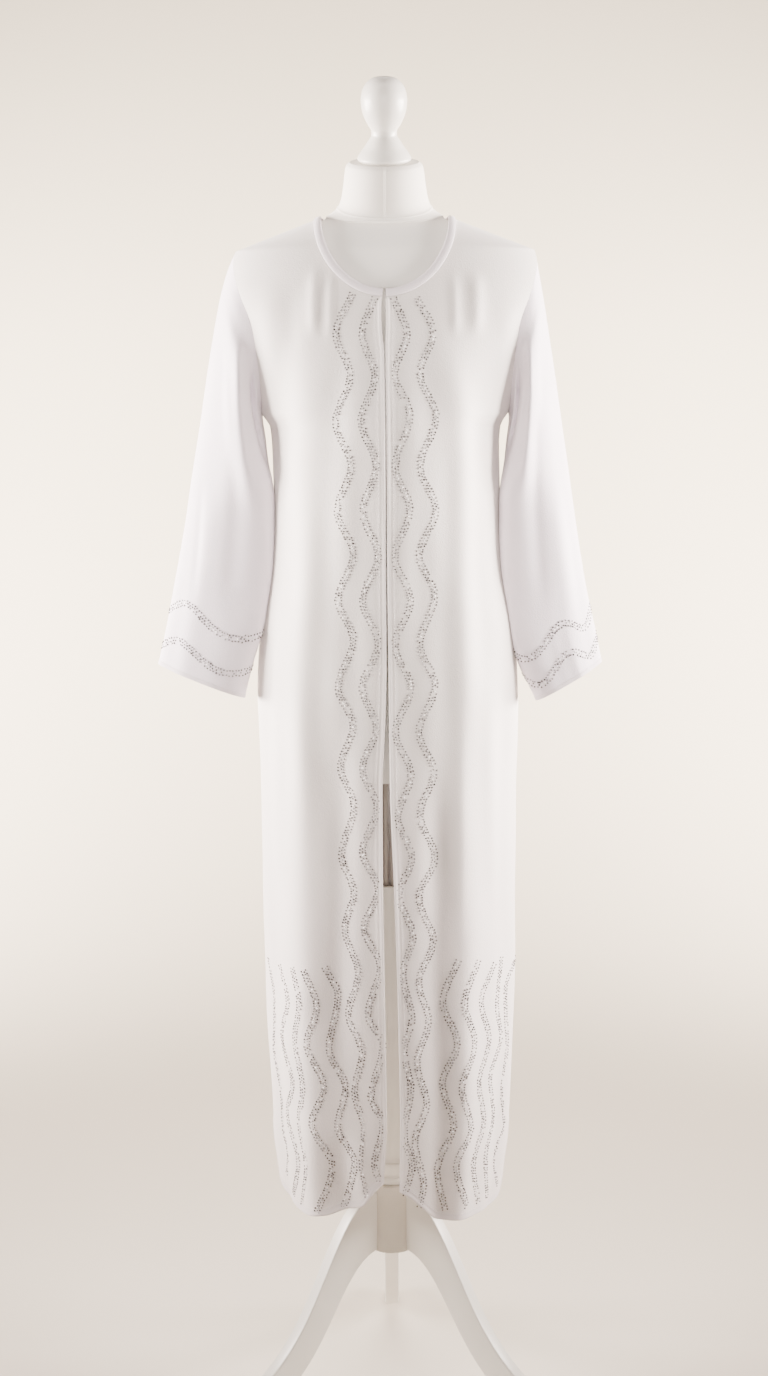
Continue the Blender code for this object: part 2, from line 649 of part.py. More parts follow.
def build_sleeve(name, table, hand, material):
    """Sleeve as an open tube that starts on the armhole and ends at the slanted cuff."""
    loop, facing = armhole_loop(hand)
    along_loop = np.roll(loop, -1, axis=0) - np.roll(loop, 1, axis=0)
    away = np.cross(along_loop, facing) * -hand
    away /= np.linalg.norm(away, axis=-1, keepdims=True)
    from_underarm = np.abs(np.linspace(0, 360, len(loop), endpoint=False) - 180)[:, None]
    fold_back = math.pi * ease(1 - from_underarm / UNDERARM_TURN)
    start = loop + (away * np.cos(fold_back / 2) + facing * np.sin(fold_back / 2)) * SEAM
    facing = facing * np.cos(fold_back) - away * np.sin(fold_back)
    share = np.linspace(0, 1, SLEEVE_RINGS + 1)[:, None]
    turn = np.linspace(0, 360, len(loop), endpoint=False)[None, :]
    outer = sleeve_surface(table, hand, share + 0 * turn, turn + 0 * share)
    hold = (1 - np.clip(share / SLEEVE_BLEND, 0, 1))[..., None] ** 2
    outer = outer + hold * (start - outer[0])[None]
    facings = sleeve_normals(table, hand, share + 0 * turn, turn + 0 * share)
    hold = (1 - np.clip(share / (SLEEVE_BLEND / 2), 0, 1))[..., None]
    facings = hold * facing[None] + (1 - hold) * facings
    facings /= np.linalg.norm(facings, axis=-1, keepdims=True)
    inner = outer - facings * WALL
    if hand > 0:
        outer, inner = outer[:, ::-1], inner[:, ::-1]
    return wall_object(name, outer[::-1], inner[::-1], True, material)


def neck_edge(inset):
    """Neckline all round at a distance inside the panels' edge, as (angle, height) arrays."""
    rise = inset * SHOULDER_SLOPE
    x, z = front_neckline(NECK_X - inset, NECK_DROP - inset + rise, NECK_Z + rise)
    halves = {}
    for side, hand in (("left", -1), ("right", 1)):
        at = np.maximum(x, hand * read(OPENING, OPENING_COLUMNS, side, z))
        angle = angle_at(at, z)
        angle[-1] = 90.0
        halves[side] = np.stack([angle, z], -1)
    behind = back_neckline(rise)
    right = np.concatenate([halves["right"], behind[1:]])
    left = np.concatenate([halves["left"], behind[1:-1]])
    return np.concatenate([right, left[::-1] * (-1, 1) + (360, 0)])


def build_binding(material):
    """Folded binding: a low rounded strip swept round the neckline, open at centre front."""
    rings = []
    for row in BINDING_SECTION:
        place = dict(zip(BINDING_COLUMNS, row))
        path = neck_edge(place["across"] * BINDING + SEAM)
        points = smooth_cloth(path[:, 0], path[:, 1])
        facing = normals(smooth_cloth, path[:, 0], path[:, 1])
        rings.append(points + facing * (place["rise"] * BINDING_RISE - place["depth"] * WALL))
    rings = np.stack(rings[::-1], 1)
    return solid_object("neck_binding", rings, material)


def lean(points):
    """Neck and finial lean forward about a pivot at the neck's base."""
    turn = NECK_LEAN * ease((points[..., 2] - NECK_PIVOT_Z) / NECK_LEAN_REACH)
    rise = points[..., 2] - NECK_PIVOT_Z
    y = points[..., 1] * np.cos(turn) - rise * np.sin(turn)
    z = NECK_PIVOT_Z + rise * np.cos(turn) + points[..., 1] * np.sin(turn)
    return np.stack([points[..., 0], y, z], -1)


def form_section(z):
    """Form's section, kept inside the cloth's wall and its clearance."""
    inset = np.array([0, HOLLOW, HOLLOW]) + WALL + SEAT
    limits = cloth_section(np.clip(z + WALL + SEAT, None, YOKE[-1][0]))
    own = [read(FORM, FORM_COLUMNS, name, z) for name in FORM_COLUMNS[1:]]
    within = [np.minimum(mine, limit - back_off) for mine, limit, back_off in zip(own, limits, inset)]
    return [np.where(z > NECK_FREE_Z, mine, held) for mine, held in zip(own, within)]


def build_form(material):
    """Padded torso and neck of the dress form, one smooth solid with a flat underside and top."""
    knots = column(FORM, FORM_COLUMNS, "z")
    torso = knots[1:-NECK_KNOTS + 1]
    heights = np.unique(np.concatenate([knots, (torso[:-1] + torso[1:]) / 2]))
    angle = np.linspace(0, 360, FORM_SEGMENTS, endpoint=False)[None, :]
    z = heights[:, None] + 0 * angle
    half_width, front, back = form_section(z)
    x, y = section_point(angle, half_width, front, back, 2.0)
    return solid_object("form_body", lean(np.stack([x, y, z], -1)), material)


def full_turn(count):
    """Evenly spaced angles right round."""
    return np.linspace(0, 2 * math.pi, count, endpoint=False)


def turned(name, rows, names, turn, material, tip=None):
    """Turned piece about +Z: rings from a table of places and radii, with a point where one is given."""
    along = column(rows, names, names[0])
    radius = column(rows, names, names[1])
    turn = np.asarray(turn)[None, :]
    rings = np.stack([radius[:, None] * np.sin(turn), -radius[:, None] * np.cos(turn),
                      along[:, None] + 0 * turn], -1)
    thing = solid_object(name, rings, material)
    if tip is not None:
        mesh = bmesh.new()
        mesh.from_mesh(thing.data)
        cap = max(mesh.faces, key=lambda face: face.calc_center_median().z)
        centre = bmesh.ops.poke(mesh, faces=[cap])["verts"][0]
        centre.co.z = tip
        mesh.to_mesh(thing.data)
        mesh.free()
    return thing


def build_finial(material):
    """Turned finial on the neck's top, in line with the leaning neck."""
    turn = full_turn(FINIAL_SEGMENTS)
    finial = turned("neck_finial", FINIAL, FINIAL_COLUMNS, turn, material, tip=FINIAL_TOP)
    finial.location = lean(np.array([0.0, 0.0, FORM[-1][0] + SEAM]))
    finial.rotation_euler = (NECK_LEAN, 0, 0)


def build_post(material):
    """Metal height-adjusting post with the pin's slot down its front."""
    width, depth = POST_SLOT
    half = math.asin(width / 2 / POST_RADIUS)
    turn = np.linspace(half, 2 * math.pi - half, POST_SEGMENTS)
    ring = np.stack([POST_RADIUS * np.sin(turn), -POST_RADIUS * np.cos(turn)], -1)
    slot = np.array([(-width / 2, depth - POST_RADIUS), (width / 2, depth - POST_RADIUS)])
    outline = np.concatenate([ring, slot])
    bottom, top = POLE_TOP + SEAM, FORM[0][0] - SEAM
    rings = np.stack([np.column_stack([outline, np.full(len(outline), z)]) for z in (bottom, top)])
    return solid_object("post", rings, material)


def build_hub(material):
    """Turned block with a flat down its side for the head of each leg."""
    flat = math.asin(LEG_THICKNESS / 2 / HUB_RADIUS)
    third = np.linspace(flat, 2 * math.pi / len(LEG_BEARINGS) - flat, HUB_ARC)
    turn = np.concatenate([third + math.radians(bearing) for bearing in sorted(LEG_BEARINGS.values())])
    rows = (
        (HUB_BOTTOM, HUB_RADIUS - HUB_ROUND),
        (HUB_BOTTOM + HUB_ROUND, HUB_RADIUS),
        (HUB_TOP - HUB_ROUND, HUB_RADIUS),
        (HUB_TOP, HUB_RADIUS - HUB_ROUND),
    )
    return turned("hub", rows, ("z", "radius"), turn, material)


def bezier(start, first, second, end, count):
    """Points of a cubic curve from its two ends and two handles."""
    t = np.linspace(0, 1, count)[:, None]
    start, first, second, end = (np.array(p, float) for p in (start, first, second, end))
    return ((1 - t) ** 3 * start + 3 * t * (1 - t) ** 2 * first
            + 3 * t * t * (1 - t) * second + t ** 3 * end)


def build_leg(name, bearing, material):
    """Sawn leg: an S-curved board on edge, its outline in radius and height, with eased edges."""
    head = math.sqrt(HUB_RADIUS ** 2 - (LEG_THICKNESS / 2) ** 2) + SEAM
    sole_z = GLIDE_HEIGHT + SEAM
    over = bezier((head, LEG_HEAD[0]), *LEG_TOP_CURVE, LEG_TOE, LEG_CURVE_POINTS)
    under = bezier((head, LEG_HEAD[1]), *LEG_UNDER_CURVE, (LEG_SOLE[0], sole_z), LEG_CURVE_POINTS)
    toe = np.array([LEG_NOSE, (LEG_SOLE[1], sole_z)])
    outline = np.concatenate([over, toe, under[::-1]])
    mesh = bmesh.new()
    corners = [mesh.verts.new((0, -r, z)) for r, z in outline]
    board = mesh.faces.new(corners)
    grown = bmesh.ops.extrude_face_region(mesh, geom=[board])
    moved = [part for part in grown["geom"] if isinstance(part, bmesh.types.BMVert)]
    bmesh.ops.translate(mesh, verts=moved, vec=(LEG_THICKNESS, 0, 0))
    bmesh.ops.translate(mesh, verts=mesh.verts, vec=(-LEG_THICKNESS / 2, 0, 0))
    bmesh.ops.recalc_face_normals(mesh, faces=mesh.faces)
    sawn = []
    for edge in mesh.edges:
        x, y, z = zip(*(vert.co for vert in edge.verts))
        along_a_side = x[0] * x[1] > 0
        at_hub = max(abs(value + head) for value in y) < SAME_PLACE
        at_sole = max(abs(value - sole_z) for value in z) < SAME_PLACE
        if along_a_side and not at_hub and not at_sole:
            sawn.append(edge)
    bmesh.ops.bevel(mesh, geom=sawn, offset=LEG_EASE, segments=1, affect="EDGES")
    data = bpy.data.meshes.new(name)
    mesh.to_mesh(data)
    mesh.free()
    data.materials.append(material)
    data.shade_smooth()
    data.set_sharp_from_angle(angle=SMOOTH_BELOW)
    leg = bpy.data.objects.new(name, data)
    leg.rotation_euler = (0, 0, math.radians(bearing))
    bpy.context.scene.collection.objects.link(leg)


def build_glide(name, bearing, material):
    """Round glide under a leg's sole."""
    rows = (
        (0.0, GLIDE_RADIUS - GLIDE_ROUND),
        (GLIDE_ROUND, GLIDE_RADIUS),
        (GLIDE_HEIGHT, GLIDE_RADIUS),
    )
    glide = turned(name, rows, ("z", "radius"), full_turn(GLIDE_SEGMENTS), material)
    glide.location = Matrix.Rotation(math.radians(bearing), 4, "Z") @ Vector((0, -GLIDE_AT, 0))


def stand_on_origin():
    """Carry everything by one empty, so that the footprint's middle is the origin."""
    bpy.context.view_layer.update()
    things = [thing for thing in bpy.context.scene.objects if thing.type == "MESH"]
    corners = np.array([thing.matrix_world @ Vector(c) for thing in things for c in thing.bound_box])
    middle = (corners.min(0) + corners.max(0)) / 2
    carrier = bpy.data.objects.new("abaya_stand", None)
    bpy.context.scene.collection.objects.link(carrier)
    for thing in things:
        thing.parent = carrier
    carrier.location = (-middle[0], -middle[1], 0)
    bpy.context.view_layer.update()


def build():
    """Remove what the scene holds and build the whole object."""
    for thing in list(bpy.data.objects):
        bpy.data.objects.remove(thing)
    crepe = finish_material("white_crepe", "#E9E5E4", 0.85)
    binding = finish_material("white_binding", "#E4DFE0", 0.85)
    jersey = finish_material("cream_jersey", "#E3DED6", 0.90)
    paint = finish_material("ivory_paint", "#DDD8CE", 0.35)
    steel = finish_material("grey_steel", "#A59F9D", 0.40, 1.0)
    rubber = finish_material("dark_glide", "#4A4238", 0.60)
    build_form(jersey)
    build_finial(paint)
    build_post(steel)
    turned("pole", POLE, POLE_COLUMNS, full_turn(POLE_SEGMENTS), paint)
    build_hub(paint)
    for name, bearing in LEG_BEARINGS.items():
        build_leg(name, bearing, paint)
        build_glide(name.replace("leg", "glide"), bearing, rubber)
    build_panels(crepe)
    build_sleeve("sleeve_left", SLEEVE_LEFT, -1, crepe)
    build_sleeve("sleeve_right", SLEEVE_RIGHT, 1, crepe)
    build_binding(binding)
    stand_on_origin()


build()
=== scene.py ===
"""Long open-front abaya with bands of rhinestones on a limbless dress form, for Blender 4.5.

Lengths are metres, +Z is up, the front faces -Y and left is -X. Every piece is worked out round the
pole's axis and then set over it. A point on the cloth is S(angle, height): the angle runs round the
pole from centre front (0) by the right side (90) to centre back (180).
"""
import math

import bmesh
import bpy
import numpy as np
from mathutils import Matrix, Vector


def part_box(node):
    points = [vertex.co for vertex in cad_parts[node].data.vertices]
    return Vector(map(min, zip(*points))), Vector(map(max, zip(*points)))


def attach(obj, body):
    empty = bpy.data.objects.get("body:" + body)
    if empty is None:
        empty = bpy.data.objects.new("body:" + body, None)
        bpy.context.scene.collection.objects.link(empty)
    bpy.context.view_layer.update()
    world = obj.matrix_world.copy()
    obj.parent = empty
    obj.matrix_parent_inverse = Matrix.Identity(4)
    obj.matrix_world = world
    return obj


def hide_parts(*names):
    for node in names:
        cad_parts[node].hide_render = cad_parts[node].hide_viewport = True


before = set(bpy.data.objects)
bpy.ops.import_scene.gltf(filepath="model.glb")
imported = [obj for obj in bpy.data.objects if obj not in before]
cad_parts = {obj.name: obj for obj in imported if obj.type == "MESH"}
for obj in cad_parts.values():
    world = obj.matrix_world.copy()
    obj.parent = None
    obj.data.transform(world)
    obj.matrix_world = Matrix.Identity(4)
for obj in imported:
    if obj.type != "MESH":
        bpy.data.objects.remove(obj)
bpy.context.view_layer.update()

# Hub
# A beech block turned round, with a flat for the head of each leg, which is glued and dowelled there.
# All the wood has two sprayed coats of ivory satin paint, which soften its edges and fill its grain.
POLE_LOW, POLE_HIGH = (np.array(corner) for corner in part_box("pole"))
AXIS = (POLE_LOW + POLE_HIGH) / 2 * (1, 1, 0)
HUB_LOW, HUB_HIGH = (np.array(corner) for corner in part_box("hub"))
HUB_RADIUS = (HUB_HIGH - HUB_LOW)[0] / 2
HUB_EDGE = 0.0022
LEG_THICKNESS = 0.022
HUB_FLAT = math.sqrt(HUB_RADIUS ** 2 - (LEG_THICKNESS / 2) ** 2)
BEARINGS = {"leg_back": 180, "leg_left": -60, "leg_right": 60}
PAINT_LIT, PAINT_DULL = "#EDEAE4", "#E2DED6"
# painted shade: the hub's two colours are the legs' ivory paint drawn darker
HUB_PAINTED_SHADE_PALE, HUB_PAINTED_SHADE_DEEP = "#DCD5CB", "#D4CDC1"
ORANGE_PEEL = 0.0030     # size of the ripples that a spray gun leaves
TURNS = 120


def linear(colour):
    """sRGB hex colour as linear red, green and blue with full alpha."""
    channels = np.array([int(colour[i:i + 2], 16) for i in (1, 3, 5)]) / 255
    return (*np.where(channels <= 0.04045, channels / 12.92, ((channels + 0.055) / 1.055) ** 2.4), 1.0)


def add(tree, kind, inputs=None, links=None, **settings):
    """Add a node with its settings, the values of its inputs and the sockets that feed it."""
    node = tree.nodes.new(kind)
    for name, value in settings.items():
        setattr(node, name, value)
    for name, value in (inputs or {}).items():
        node.inputs[name].default_value = value
    for name, socket in (links or {}).items():
        tree.links.new(socket, node.inputs[name])
    return node


def new_material(name, values):
    """Material with a Principled shader, whose plain values are set on the shader's own sockets."""
    material = bpy.data.materials.new(name)
    material.use_nodes = True
    tree = material.node_tree
    shader = tree.nodes["Principled BSDF"]
    for socket, value in values.items():
        shader.inputs[socket].default_value = value
    return material, tree, shader


def solid(name, grid, material, slot, *nodes):
    """Closed piece from rings of points: quads between the rings and one flat face over each end."""
    rows, columns = grid.shape[:2]
    here = np.arange(rows * columns).reshape(rows, columns)
    ahead = np.roll(here, -1, 1)
    quads = np.stack([here[:-1], ahead[:-1], ahead[1:], here[1:]], -1).reshape(-1, 4).tolist()
    mesh = bpy.data.meshes.new(name)
    mesh.from_pydata(grid.reshape(-1, 3).tolist(), [], quads + [here[0, ::-1].tolist(), here[-1].tolist()])
    work = bmesh.new()
    work.from_mesh(mesh)
    bmesh.ops.recalc_face_normals(work, faces=work.faces)
    work.to_mesh(mesh)
    work.free()
    return settle(name, mesh, material, slot, *nodes)


def settle(name, mesh, material, slot, *nodes, sharp=35):
    """Object at the origin with its material, riding on the part and standing for its CAD nodes."""
    mesh.materials.append(material)
    mesh.shade_smooth()
    mesh.set_sharp_from_angle(angle=math.radians(sharp))
    thing = bpy.data.objects.new(name, mesh)
    bpy.context.scene.collection.objects.link(thing)
    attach(thing, "root")
    if nodes:
        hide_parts(*nodes)
    return thing


def turned(profile):
    """Rings of a turned piece: each (height, radius) of the profile carried round the pole's axis."""
    height, radius = np.array(profile, float).T[:, :, None]
    turn = np.linspace(0, 2 * math.pi, TURNS, endpoint=False)
    return AXIS + np.stack([radius * np.sin(turn), -radius * np.cos(turn), height + 0 * turn], -1)


def rounded(z_from, z_to, radius, edge):
    """Profile of a drum with quarter-round edges, as rows of (height, radius)."""
    turn = np.linspace(0, math.pi / 2, 7)
    z, r = edge * (1 - np.cos(turn)), radius - edge * (1 - np.sin(turn))
    return np.concatenate([np.stack([z_from + z, r], -1), np.stack([z_to - z, r], -1)[::-1]])


def ivory_paint(name, lit, dull):
    """Satin alkyd paint on beech: an even ivory film with a faint orange peel and soft, wide gloss."""
    material, tree, shader = new_material(
        name, {"Roughness": 0.34, "IOR": 1.5, "Coat Weight": 0.25, "Coat Roughness": 0.28})
    place = add(tree, "ShaderNodeTexCoord").outputs["Object"]
    cloud = add(tree, "ShaderNodeTexNoise", {"Scale": 1 / 0.08, "Detail": 3.0}, {"Vector": place})
    colour = add(tree, "ShaderNodeMix", {6: linear(lit), 7: linear(dull)},
                 {0: cloud.outputs["Fac"]}, data_type="RGBA")
    tree.links.new(colour.outputs[2], shader.inputs["Base Color"])
    peel = add(tree, "ShaderNodeTexNoise", {"Scale": 1 / ORANGE_PEEL, "Detail": 1.0}, {"Vector": place})
    bump = add(tree, "ShaderNodeBump", {"Strength": 0.25, "Distance": 0.00015},
               {"Height": peel.outputs["Fac"]})
    tree.links.new(bump.outputs["Normal"], shader.inputs["Normal"])
    return material


def flattened(points):
    """Draw in whatever stands further out along a leg's bearing than that leg's flat."""
    for bearing in BEARINGS.values():
        outward = np.array([math.sin(math.radians(bearing)), -math.cos(math.radians(bearing)), 0])
        beyond = np.clip((points - AXIS) @ outward - HUB_FLAT, 0, None)
        points = points - beyond[..., None] * outward
    return points


paint = ivory_paint("ivory_satin_paint", PAINT_LIT, PAINT_DULL)
# the hub's paint is drawn darker than the legs' as painted shade, for the skirt's shadow that the lights here
# leave too weak
hub_paint_with_painted_shade = ivory_paint("hub_ivory_paint_painted_shade", HUB_PAINTED_SHADE_PALE, HUB_PAINTED_SHADE_DEEP)
block = flattened(turned(rounded(HUB_LOW[2], HUB_HIGH[2], HUB_RADIUS, HUB_EDGE)))
solid("hub_block", block, hub_paint_with_painted_shade, "ivory_paint", "hub")

# Legs
# Three boards of 22 mm beech, band-sawn to an S-curve and stood on edge, their long edges eased.
# Each is dowelled to the hub and splayed so that its flat sole carries a glide.
LEG_EASE = 0.0028
LEG_HEAD_Z = (0.298, 0.2105)
OVER_HANDLES = ((0.120, 0.270), (0.120, 0.050))
UNDER_HANDLES = ((0.100, 0.190), (0.110, 0.030))
LEG_TOE, LEG_NOSE, LEG_CHIN = (0.286, 0.026), ((0.2885, 0.024), (0.288, 0.017)), (0.2835, 0.0108)
SOLE_FROM, SOLE_TO, SOLE_Z = 0.236, 0.2775, 0.0078


def bezier(start, first, second, end, count):
    """Cubic curve from its two ends and two handles."""
    t = np.linspace(0, 1, count)[:, None]
    start, first, second, end = (np.array(p) for p in (start, first, second, end))
    return ((1 - t) ** 3 * start + 3 * t * (1 - t) ** 2 * first
            + 3 * t * t * (1 - t) * second + t ** 3 * end)


def leg_board(bearing):
    """A rounded rectangle carried along the leg, standing on its under curve up to its upper curve.

    The corner of every section is a quarter circle, and the sections run in (distance from the
    pole, height) before they are turned to the leg's bearing.
    """
    head = HUB_FLAT + 0.0002
    toe = bezier(LEG_TOE, *LEG_NOSE, LEG_CHIN, 9)[1:]
    sole = np.linspace((SOLE_FROM, SOLE_Z), (SOLE_TO, SOLE_Z), 9)[1:]
    over = np.concatenate([bezier((head, LEG_HEAD_Z[0]), *OVER_HANDLES, LEG_TOE, 64), toe])
    under = np.concatenate([bezier((head, LEG_HEAD_Z[1]), *UNDER_HANDLES, (SOLE_FROM, SOLE_Z), 64), sole])
    rise = over - under
    height = np.linalg.norm(rise, axis=1)[:, None]
    ease = np.minimum(LEG_EASE, 0.45 * height)
    turn = np.concatenate([np.linspace(k, k + 1, 5) for k in (-1, 0, 1, 2)]) * math.pi / 2
    right = np.repeat([1, 1, -1, -1], 5)
    high = np.repeat([0, 1, 1, 0], 5)
    across = right * (LEG_THICKNESS / 2 - ease) + ease * np.cos(turn)
    up = ease + high * (height - 2 * ease) + ease * np.sin(turn)
    place = under[:, None] + (rise / height)[:, None] * up[..., None]
    points = np.stack([across, -place[..., 0], place[..., 1]], -1)
    angle = math.radians(bearing)
    cosine, sine = math.cos(angle), math.sin(angle)
    spin = np.array([[cosine, -sine, 0], [sine, cosine, 0], [0, 0, 1]])
    return AXIS + points @ spin.T


for leg, bearing in BEARINGS.items():
    solid(leg.replace("leg", "splayed_leg"), leg_board(bearing), paint, "ivory_paint", leg)

# Glides
# Turned plugs of dark brown moulded polyethylene, pressed into the sole of each leg.
# Their faces are dull from moulding, and slightly worn where they touch the floor.


def dark_glide():
    """Dark brown polyethylene with the faint grain of its mould."""
    material, tree, shader = new_material("moulded_polyethylene", {"Roughness": 0.55, "IOR": 1.51})
    place = add(tree, "ShaderNodeTexCoord").outputs["Object"]
    grain = add(tree, "ShaderNodeTexNoise", {"Scale": 1 / 0.0009, "Detail": 2.0}, {"Vector": place})
    colour = add(tree, "ShaderNodeMix", {6: linear("#3F372F"), 7: linear("#554A3F")},
                 {0: grain.outputs["Fac"]}, data_type="RGBA")
    tree.links.new(colour.outputs[2], shader.inputs["Base Color"])
    bump = add(tree, "ShaderNodeBump", {"Strength": 0.3, "Distance": 0.0001},
               {"Height": grain.outputs["Fac"]})
    tree.links.new(bump.outputs["Normal"], shader.inputs["Normal"])
    return material


glide_plastic = dark_glide()
for leg in BEARINGS:
    node = leg.replace("leg", "glide")
    low, high = (np.array(corner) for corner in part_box(node))
    plug = turned(rounded(low[2], high[2], (high - low)[0] / 2, 0.0009))
    solid(node.replace("glide", "floor_glide"), plug - AXIS + (low + high) / 2 * (1, 1, 0), glide_plastic,
          "dark_glide", node)

# Pole
# A long beech dowel, turned with a collar and two beads above the hub, and bored for the post.
# It has the same ivory paint as the legs.
POLE_RADIUS = 0.0210
COLLAR_RADIUS = (POLE_HIGH - POLE_LOW)[0] / 2
# foot and top of each bead round the collar
BEADS = ((0.3076, 0.3190), (0.3232, 0.3392))
POLE_SHOULDER = (
    (0.3405, 0.0258), (0.3420, 0.0240), (0.3440, 0.0222), (0.3470, 0.0213), (0.3520, POLE_RADIUS),
)
BEAD_RISE = 0.0028
BORE_RADIUS = 0.0146


def bead(z_from, z_to):
    """Profile of one bead: a half ellipse that stands 2.8 mm out of the collar's neck."""
    t = np.linspace(0, math.pi, 15)
    z = (z_from + z_to) / 2 - (z_to - z_from) / 2 * np.cos(t)
    return np.stack([z, COLLAR_RADIUS - BEAD_RISE + BEAD_RISE * np.sin(t) ** 0.5], -1)


pole_profile = np.concatenate([
    *(bead(*rows) for rows in BEADS), POLE_SHOULDER,
    rounded(0.356, POLE_HIGH[2], POLE_RADIUS, 0.0018)[7:],
    [(POLE_HIGH[2], BORE_RADIUS), (POLE_HIGH[2] - 0.012, BORE_RADIUS)]])
solid("turned_pole", turned(pole_profile), paint, "ivory_paint", "pole")

# Post
# A drawn steel tube that slides in the pole, with a slot down its front for the pin that sets its height.
# It is brushed lengthwise and zinc-plated, so it is grey with fine upright lines.
POST_RADIUS = 0.0140
POST_SLOT = 0.0034
POST_LOW, POST_HIGH = (np.array(corner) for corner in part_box("post"))
POST_STOP = 0.0035       # how far below the form the tube ends, just under its collar
BRUSHING = 0.0006        # spacing of the brushed lines, drawn coarser than real ones so that they show


def slotted_tube(z_from, z_to):
    """A circle with a square-cornered slot let into its front, carried straight up."""
    half = math.asin(POST_SLOT / 2 / POST_RADIUS)
    turn = np.linspace(half, 2 * math.pi - half, 80)
    ring = POST_RADIUS * np.stack([np.sin(turn), -np.cos(turn)], -1)
    slot = np.array([(-1.0, -0.004), (1.0, -0.004)]) * (POST_SLOT / 2, 1)
    outline = np.concatenate([ring, slot])
    heights = np.array([z_from, z_from + 0.0004, z_to - 0.0004, z_to])[:, None]
    shrink = np.array([0.985, 1, 1, 0.985])[:, None]
    return AXIS + np.stack([outline[:, 0] * shrink, outline[:, 1] * shrink, heights + 0 * outline[:, 0]], -1)


def brushed_steel():
    """Zinc-plated steel brushed lengthwise: grey, with upright lines that stretch its highlight."""
    material, tree, shader = new_material("brushed_zinc_plated_steel", {"Metallic": 1.0})
    place = add(tree, "ShaderNodeTexCoord").outputs["Object"]
    shape = add(tree, "ShaderNodeMapping", {"Scale": (1, 1, 0.02)}, {"Vector": place})
    lines = add(tree, "ShaderNodeTexNoise", {"Scale": 1 / BRUSHING, "Detail": 3.0},
                {"Vector": shape.outputs["Vector"]})
    colour = add(tree, "ShaderNodeMix", {6: linear("#8F8A88"), 7: linear("#A9A4A1")},
                 {0: lines.outputs["Fac"]}, data_type="RGBA")
    tree.links.new(colour.outputs[2], shader.inputs["Base Color"])
    rough = add(tree, "ShaderNodeMapRange", {"To Min": 0.34, "To Max": 0.52}, {"Value": lines.outputs["Fac"]})
    tree.links.new(rough.outputs["Result"], shader.inputs["Roughness"])
    bump = add(tree, "ShaderNodeBump", {"Strength": 0.3, "Distance": 0.0001},
               {"Height": lines.outputs["Fac"]})
    tree.links.new(bump.outputs["Normal"], shader.inputs["Normal"])
    return material


solid("sliding_post", slotted_tube(POST_LOW[2], POST_HIGH[2] - POST_STOP), brushed_steel(), "grey_steel",
      "post")

# Post collar
# A pale moulded ring under the form, where the post enters its base board.
# It is glued to the board and painted with it.
RING_HEIGHT, RING_RADIUS, RING_EDGE = 0.0033, 0.0172, 0.0010
ring_profile = rounded(POST_HIGH[2] - RING_HEIGHT, POST_HIGH[2], RING_RADIUS, RING_EDGE)
solid("post_collar", turned(ring_profile), paint, "ivory_paint")

# Form body
# A limbless torso and neck of papier mache, padded with wadding and covered with taut cream jersey.
# The jersey is joined up the front and back of the neck and round its base, and glued under the top.
WALL = 0.0012            # thickness of the cloth that hangs on it
SEAT, HOLLOW = 0.0020, 0.0030
UNDERARM_Z, SHOULDER_Z, SHOULDER_X = 1.390, 1.604, 0.198
NECK_X, NECK_Z = 0.094, 1.6436
SHOULDER_SLOPE = (NECK_Z - SHOULDER_Z) / (SHOULDER_X - NECK_X)
ARMHOLE_DEPTH = 0.050
# height, half width, depth in front, depth behind and roundness of the hanging cloth
BODY = (
    (0.290, 0.1535, 0.1240, 0.1140, 2.30),
    (0.330, 0.1590, 0.1250, 0.1150, 2.30),
    (0.380, 0.1655, 0.1265, 0.1170, 2.30),
    (0.450, 0.1690, 0.1280, 0.1190, 2.30),
    (0.600, 0.1745, 0.1300, 0.1220, 2.30),
    (0.860, 0.1755, 0.1320, 0.1270, 2.30),
    (1.000, 0.1790, 0.1320, 0.1270, 2.30),
    (1.100, 0.1740, 0.1320, 0.1210, 2.20),
    (1.190, 0.1575, 0.1320, 0.1140, 2.15),
    (1.270, 0.1530, 0.1325, 0.1090, 2.10),
    (1.330, 0.1530, 0.1330, 0.1070, 2.05),
    (1.372, 0.1545, 0.1330, 0.1070, 2.00),
    (1.390, 0.1650, 0.1315, 0.1080, 2.00),
)
# height, depth in front and depth behind of the yoke, above the underarm
YOKE = (
    (1.390, 0.1315, 0.1080),
    (1.420, 0.1240, 0.1095),
    (1.450, 0.1165, 0.1105),
    (1.500, 0.1035, 0.1085),
    (1.550, 0.0925, 0.0995),
    (1.585, 0.0845, 0.0905),
    (1.604, 0.0795, 0.0850),
    (1.617, 0.0735, 0.0800),
    (1.631, 0.0675, 0.0745),
    (1.644, 0.0605, 0.0670),
    (1.652, 0.0570, 0.0625),
)
# height and distance from the middle of the armhole seam
ARMHOLE = (
    (1.390, 0.1650),
    (1.410, 0.1660),
    (1.450, 0.1685),
    (1.500, 0.1745),
    (1.517, 0.1795),
    (1.540, 0.1890),
    (1.560, 0.1955),
    (1.588, 0.2000),
    (1.604, 0.1980),
)
